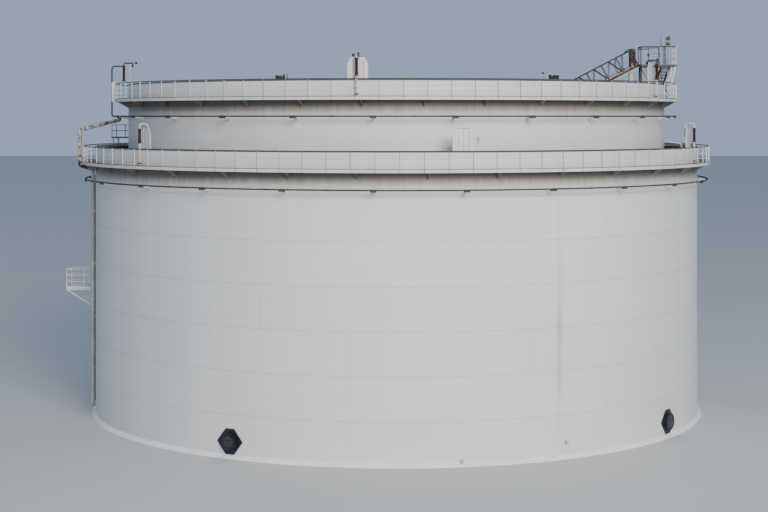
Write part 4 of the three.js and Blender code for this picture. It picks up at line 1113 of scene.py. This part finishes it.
def make_gauge():
    pole, head, drum = shapes(3, GAUGE.azimuth)
    pole_top = GAUGE.top - 0.45
    pole.upright(POLE_RADIUS, 2 * BOTTOM, pole_top, POLE_PIPE, 24)
    pole.flange((POLE_RADIUS, pole_top - 0.02), POLE_PIPE + 0.05, 0.04, 24)
    piece = pole.make("guide_pole_pipe", "pipe", "pipe_paint")
    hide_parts("guide_pole")
    low = GAUGE.top + 1.25
    back = HEAD_RADIUS - 0.2
    front = back + 0.28
    head.slab(back, front, low + 0.02, low + 0.6, 0.36, HEAD_SIDE)
    head.slab(back, back + 0.6, low, low + 0.03, 0.4, HEAD_SIDE)
    head.slab(front, back + 0.6, low + 0.24, low + 0.36, 0.38, HEAD_SIDE)
    piece = head.make("gauge_head_case", "grey", "instrument_grey")
    for r, width in ((HEAD_RADIUS - 0.06, 0.05), (HEAD_RADIUS + 0.06, 0.075)):
        drum.strut((r, GAUGE.top), (r, low + 0.02), width, HEAD_SIDE)
    drum.slab(HEAD_RADIUS - 0.12, HEAD_RADIUS + 0.12, GAUGE.top, GAUGE.top + 0.02, 0.2, HEAD_SIDE)
    for z0, z1 in ((0.04, 0.24), (0.36, 0.58)):
        drum.slab(front, back + 0.58, low + z0, low + z1, 0.34, HEAD_SIDE)
    drum.ball((back + 0.5, low + 0.6, HEAD_SIDE), 0.07)
    drum.make("gauge_head_drum", "dark", "instrument_grey")
    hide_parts("gauge_head")


def make_roof():
    roof, seal = shapes(2)
    inner_top = ROOF_DECK + PONTOON_ABOVE - PONTOON_RISE
    roof.arc([
        (PONTOON_INNER, ROOF_DECK - PONTOON_BELOW + PONTOON_RISE), (ROOF_RADIUS, ROOF_DECK - PONTOON_BELOW),
        (ROOF_RADIUS, ROOF_DECK + PONTOON_ABOVE), (PONTOON_INNER, inner_top),
    ], 360)
    roof.upright(0, ROOF_DECK - 0.04, ROOF_DECK, PONTOON_INNER + 0.05, 180)
    # Leg sleeves on the deck and on the pontoon, and hatches
    for count, r, level in ((6, 4.5, ROOF_DECK), (12, 9.5, ROOF_DECK), (18, 16.2, inner_top + 0.04)):
        for roof.azimuth in turns(count, 180 / count):
            roof.upright(r, level, level + SLEEVE_HEIGHT, 0.06)
            roof.flange((r, level + 0.02), 0.15, 0.03, 14)
            roof.flange((r, level + SLEEVE_HEIGHT), 0.09, 0.03, 10)
    for roof.azimuth in turns(HATCHES):
        # None where the ladder and the guide pole are
        if abs(roof.azimuth - GAUGE.azimuth) > 9:
            roof.upright(HATCH_PLACE, inner_top, inner_top + 0.16, 0.3, 20)
            roof.flange((HATCH_PLACE, inner_top + 0.17), 0.34, 0.03, 20)
    # A foam dam near the rim
    roof.arc(box(DAM_RADIUS, DAM_RADIUS + 0.01, inner_top, inner_top + 0.55), 360)
    piece = roof.make("floating_roof_plates", "roof", "roof_plate")
    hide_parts("floating_roof")
    wall = TANK_RADIUS - PLATE - 0.005
    edge = ROOF_RADIUS + SEAT
    lip = [(edge, 0.15), (wall, 0.28), (wall, 0.42), (edge, 0.36)]
    seal.arc([(r, ROOF_DECK + z) for r, z in lip], 360)
    seal_piece = seal.make("roof_seal_lip", "seal", "seal_rubber")
    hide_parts("roof_seal")


def down_ladder(s, up):
    """Radius and height at a distance down the ladder from its hinge and a rise from its floor."""
    r = LADDER_HINGE - s * cos(LADDER_SLOPE) - up * sin(LADDER_SLOPE)
    return r, GAUGE.top - s * sin(LADDER_SLOPE) + up * cos(LADDER_SLOPE)


def hose(first, drop):
    """Radius and height pairs of a loose hose that hangs from the top chord to the end frame."""
    r, z = down_ladder(first, LADDER_SIDE)
    places = []
    for k in range(HOSE_STEPS + 1):
        share = k / HOSE_STEPS
        sag = drop * sin(pi * share) + 0.75 * (1 - (1 - share) ** 3) * (1.5 - first * 0.45)
        places.append((r + first * 0.55 * share ** 1.6, z - min(sag, 0.95)))
    return places


def truss_bars(bays):
    """The bars of one side of the ladder: both ends as radius and height, and the width."""
    bars = [(down_ladder(0, 0.14), down_ladder(LADDER_LENGTH, 0.14), 0.045)]
    bars.append((down_ladder(0, LADDER_SIDE), down_ladder(LADDER_LENGTH - 0.5, LADDER_SIDE), 0.085))
    for s, nxt in zip(bays, bays[1:] + [None]):
        bars.append((down_ladder(s, 0), down_ladder(s, LADDER_SIDE), 0.045))
        if nxt is not None:
            peak = down_ladder((s + nxt) / 2, LADDER_SIDE - 0.03)
            bars.append((down_ladder(s, 0.05), peak, 0.05))
            bars.append((peak, down_ladder(nxt, 0.05), 0.035))
    # The upright frame at the hinge with its braces, then a second upright before the hinge
    head = down_ladder(0, LADDER_SIDE)
    gate = LADDER_HINGE - LADDER_GATE
    top = GAUGE.top + LADDER_GATE_TOP
    crown = gate - 0.3
    bars += [
        (down_ladder(LADDER_SIDE * tan(LADDER_SLOPE), 0), head, 0.08),
        (down_ladder(0, 0.05), head, 0.05),
        (down_ladder(0, 0.05), down_ladder(0.15, LADDER_SIDE * 0.75), 0.04),
        (down_ladder(0.05, 0.6), down_ladder(0.33, 0.3), 0.05),
        (down_ladder(LADDER_GATE / cos(LADDER_SLOPE), 0), (gate, top), 0.1),
        (head, (gate, top), 0.07),
        ((gate, top - 0.12), (crown, top - 0.2), 0.05),
        ((gate, top - 0.68), (crown, top - 0.68), 0.06),
    ]
    for k in range(3):
        low = top - 0.85 + 0.3 * k
        start, end = (gate, crown) if k % 2 else (crown, gate)
        bars.append(((start, low), (end, low + 0.24), 0.03))
    return bars


def make_ladder():
    half = LADDER_WIDTH / 2
    upright = LADDER_SIDE * tan(LADDER_SLOPE)
    start = upright + 0.5
    span = LADDER_LENGTH - 0.8 - start
    bays = [start + span * i / LADDER_BAYS for i in range(LADDER_BAYS + 1)]
    hoop = [(-0.67, -0.11), (-0.56, 0.04), (-0.46, 0.13), (-0.25, 0.18), (0.0, 0.17), (0.0, -0.05)]
    gate = LADDER_HINGE - LADDER_GATE
    gate_top = GAUGE.top + LADDER_GATE_TOP
    red, pale, brown, dark, treads = shapes(5, GAUGE.azimuth)

    def place(s, up, side):
        return (*down_ladder(s, up), side)

    for side in (-half, half):
        for bar in truss_bars(bays):
            red.strut(*bar, side)
        # The stringer: a pale edge, a brown web with dark ties and a pale bar below
        pale.bar(place(0, -0.155, side), place(LADDER_LENGTH, -0.155, side), 0.065)
        for shape, low, high in ((pale, 0.07, 0.115), (brown, -0.125, 0.07)):
            section = box(side - 0.012, side + 0.012, low, high)
            shape.loft([[place(s, up, across) for across, up in section] for s in (0, LADDER_LENGTH)])
        for i in range(1, LADDER_TIES):
            s = LADDER_LENGTH * i / LADDER_TIES
            dark.bar(place(s, -0.12, side * 1.03), place(s + 0.06, 0.07, side * 1.03), 0.07)
        # A hoop over both uprights, and the hoses
        dark.rod([(gate + r, gate_top + z, side) for r, z in hoop], 0.028)
        for first, drop in ((1.15, 0.28), (0.62, 0.2)):
            dark.rod([(r, z, side) for r, z in hose(first, drop)], 0.022, 6)
        wheel = side + copysign(0.07, side)
        ends = [place(LADDER_LENGTH, 0, wheel - 0.03), place(LADDER_LENGTH, 0, wheel + 0.03)]
        red.rod(ends, LADDER_WHEEL * 0.966, 24)
        red.slab(LADDER_HINGE - 0.16, GAUGE.inner - GAP, GAUGE.top - 0.07, GAUGE.top + 0.04, 0.06, side)
    axle_end = half + 0.16
    red.rod([place(LADDER_LENGTH, 0, -axle_end), place(LADDER_LENGTH, 0, axle_end)], 0.035, 12)
    for s in bays:
        red.bar(place(s, -0.05, -half), place(s, -0.05, half), 0.05)
    for s, rise in ((upright, 0), (upright / 2, LADDER_SIDE / 2), (0, LADDER_SIDE)):
        red.bar(place(s, rise, -half), place(s, rise, half), 0.06)
    for i in range(LADDER_TREADS):
        r, z = down_ladder(0.75 + (LADDER_LENGTH - 1.5) * i / (LADDER_TREADS - 1), 0.03)
        treads.slab(r - 0.09, r + 0.09, z - 0.014, z + 0.014, LADDER_WIDTH - 0.06)
    piece = red.make("rolling_ladder_trusses", "ladder_red", "ladder_paint")
    pale.make("rolling_ladder_stringers", "pipe", "pipe_paint")
    brown.make("rolling_ladder_webs", "web", "pipe_paint")
    dark.make("rolling_ladder_hoops", "dark", "ladder_paint")
    treads.make("rolling_ladder_treads", "rust", "pipe_paint")
    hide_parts("rolling_ladder")
    repaint("ladder_track", "main")


def make_manhole(number, azimuth):
    shape, lid = shapes(2, azimuth)

    def place(out, side=0.0, up=0.0):
        return CUP_RADIUS + out, MANHOLE_HEIGHT + up, side

    # The plate is a hexagon with points at its sides
    across, high, flat = MANHOLE_PLATE
    outline = [(across, 0), (flat, high), (-flat, high), (-across, 0), (-flat, -high), (flat, -high)]
    shape.loft([[place(out, s, z) for s, z in outline] for out in (-0.015, 0.05)])
    shape.rod([place(0.04), place(0.18)], MANHOLE_NECK, 40)
    # Two rings with bolts between, and a round cover, dished
    for out in (0.17, 0.2):
        shape.rod([place(out), place(out + 0.025)], MANHOLE_RING, 40)
    for s, z in circle(MANHOLE_RING - 0.04, MANHOLE_BOLTS):
        shape.rod([place(0.15, s, z), place(0.25, s, z)], 0.02, 6)
    dish = []
    for share in (1.0, 0.9, 0.7, 0.45, 0.2, 0.05):
        out = 0.22 + MANHOLE_DISH * (1 - share * share)
        dish.append([place(out, s, z) for s, z in circle(MANHOLE_LID * share, 40)][::-1])
    lid.loft(dish)
    lid.make(f"manhole_{number}_lid", "lid", "manhole_paint")
    handle = ((0.25, -0.12), (0.32, -0.12), (0.32, 0.12), (0.25, 0.12))
    shape.tube([place(out, side, 0.12) for out, side in handle], 0.014, 8, 0.05)
    piece = shape.make(f"manhole_{number}_cover", "manhole", "manhole_paint")
    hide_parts(f"manhole_{number}")


def make_camera():
    data = bpy.data.cameras.new("photo_camera")
    data.sensor_width = SENSOR_MM
    data.lens = FOCAL_PX / FRAME_WIDTH_PX * SENSOR_MM
    data.shift_y = (HORIZON_PX - FRAME_HEIGHT_PX / 2) / FRAME_WIDTH_PX
    data.clip_end = CAMERA_FAR_CLIP
    camera = add_object("photo_camera", data)
    camera.location = CAMERA_PLACE
    camera.rotation_euler = (radians(90), 0, 0)
    bpy.context.scene.camera = camera


def make_light():
    data = bpy.data.lights.new("key", "AREA")
    data.energy = LIGHT_ENERGY
    data.shape = "DISK"
    data.size = LIGHT_SIZE
    data.color = LIGHT_TINT
    light = add_object("key", data)
    light.location = LIGHT_PLACE
    light.rotation_euler = (LIGHT_AIM - LIGHT_PLACE).to_track_quat("-Z", "Y").to_euler()


def make_stage():
    mesh = bpy.data.meshes.new("floor")
    corners = box(-FLOOR_REACH, FLOOR_REACH, -FLOOR_REACH, FLOOR_REACH)
    mesh.from_pydata([(x, y, 0) for x, y in corners], [], [(0, 1, 2, 3)])
    floor = add_object("floor", mesh)
    paint = Paint("floor_pale")
    paint.base = paint.mix(paint.noise(0.2, 3.0, 0.5), (0.55, 0.55, 0.54), (0.59, 0.59, 0.58))
    mesh.materials.append(paint.finish(0.9))
    world = bpy.data.worlds.new("soft_sky")
    world.use_nodes = True
    background = world.node_tree.nodes["Background"]
    background.inputs["Color"].default_value = SKY_TINT
    background.inputs["Strength"].default_value = SKY_STRENGTH
    bpy.context.scene.world = world


make_camera()
make_stage()
make_light()
make_shell("outer", 4, CUP_RADIUS, BOTTOM, CUP_TOP, "cup_shell", "lining")
make_shell("inner", 8, TANK_RADIUS, 2 * BOTTOM, TANK_TOP, "tank_shell", "inside")
make_foot()
for walkway in (LOWER, UPPER):
    make_walkway(walkway)
    make_railing(walkway)
    make_ring_main(walkway)
for ring, units in ((LOWER, LOWER_FOAM), (UPPER, UPPER_FOAM)):
    for index, unit in enumerate(units):
        make_foam_unit(ring, index + 1, *unit)
make_supply()
make_side_platform()
make_crossing()
make_drain()
make_gauge_platform()
make_stair()
make_gauge()
make_roof()
make_ladder()
for index, azimuth in enumerate(MANHOLES):
    make_manhole(index + 1, azimuth)
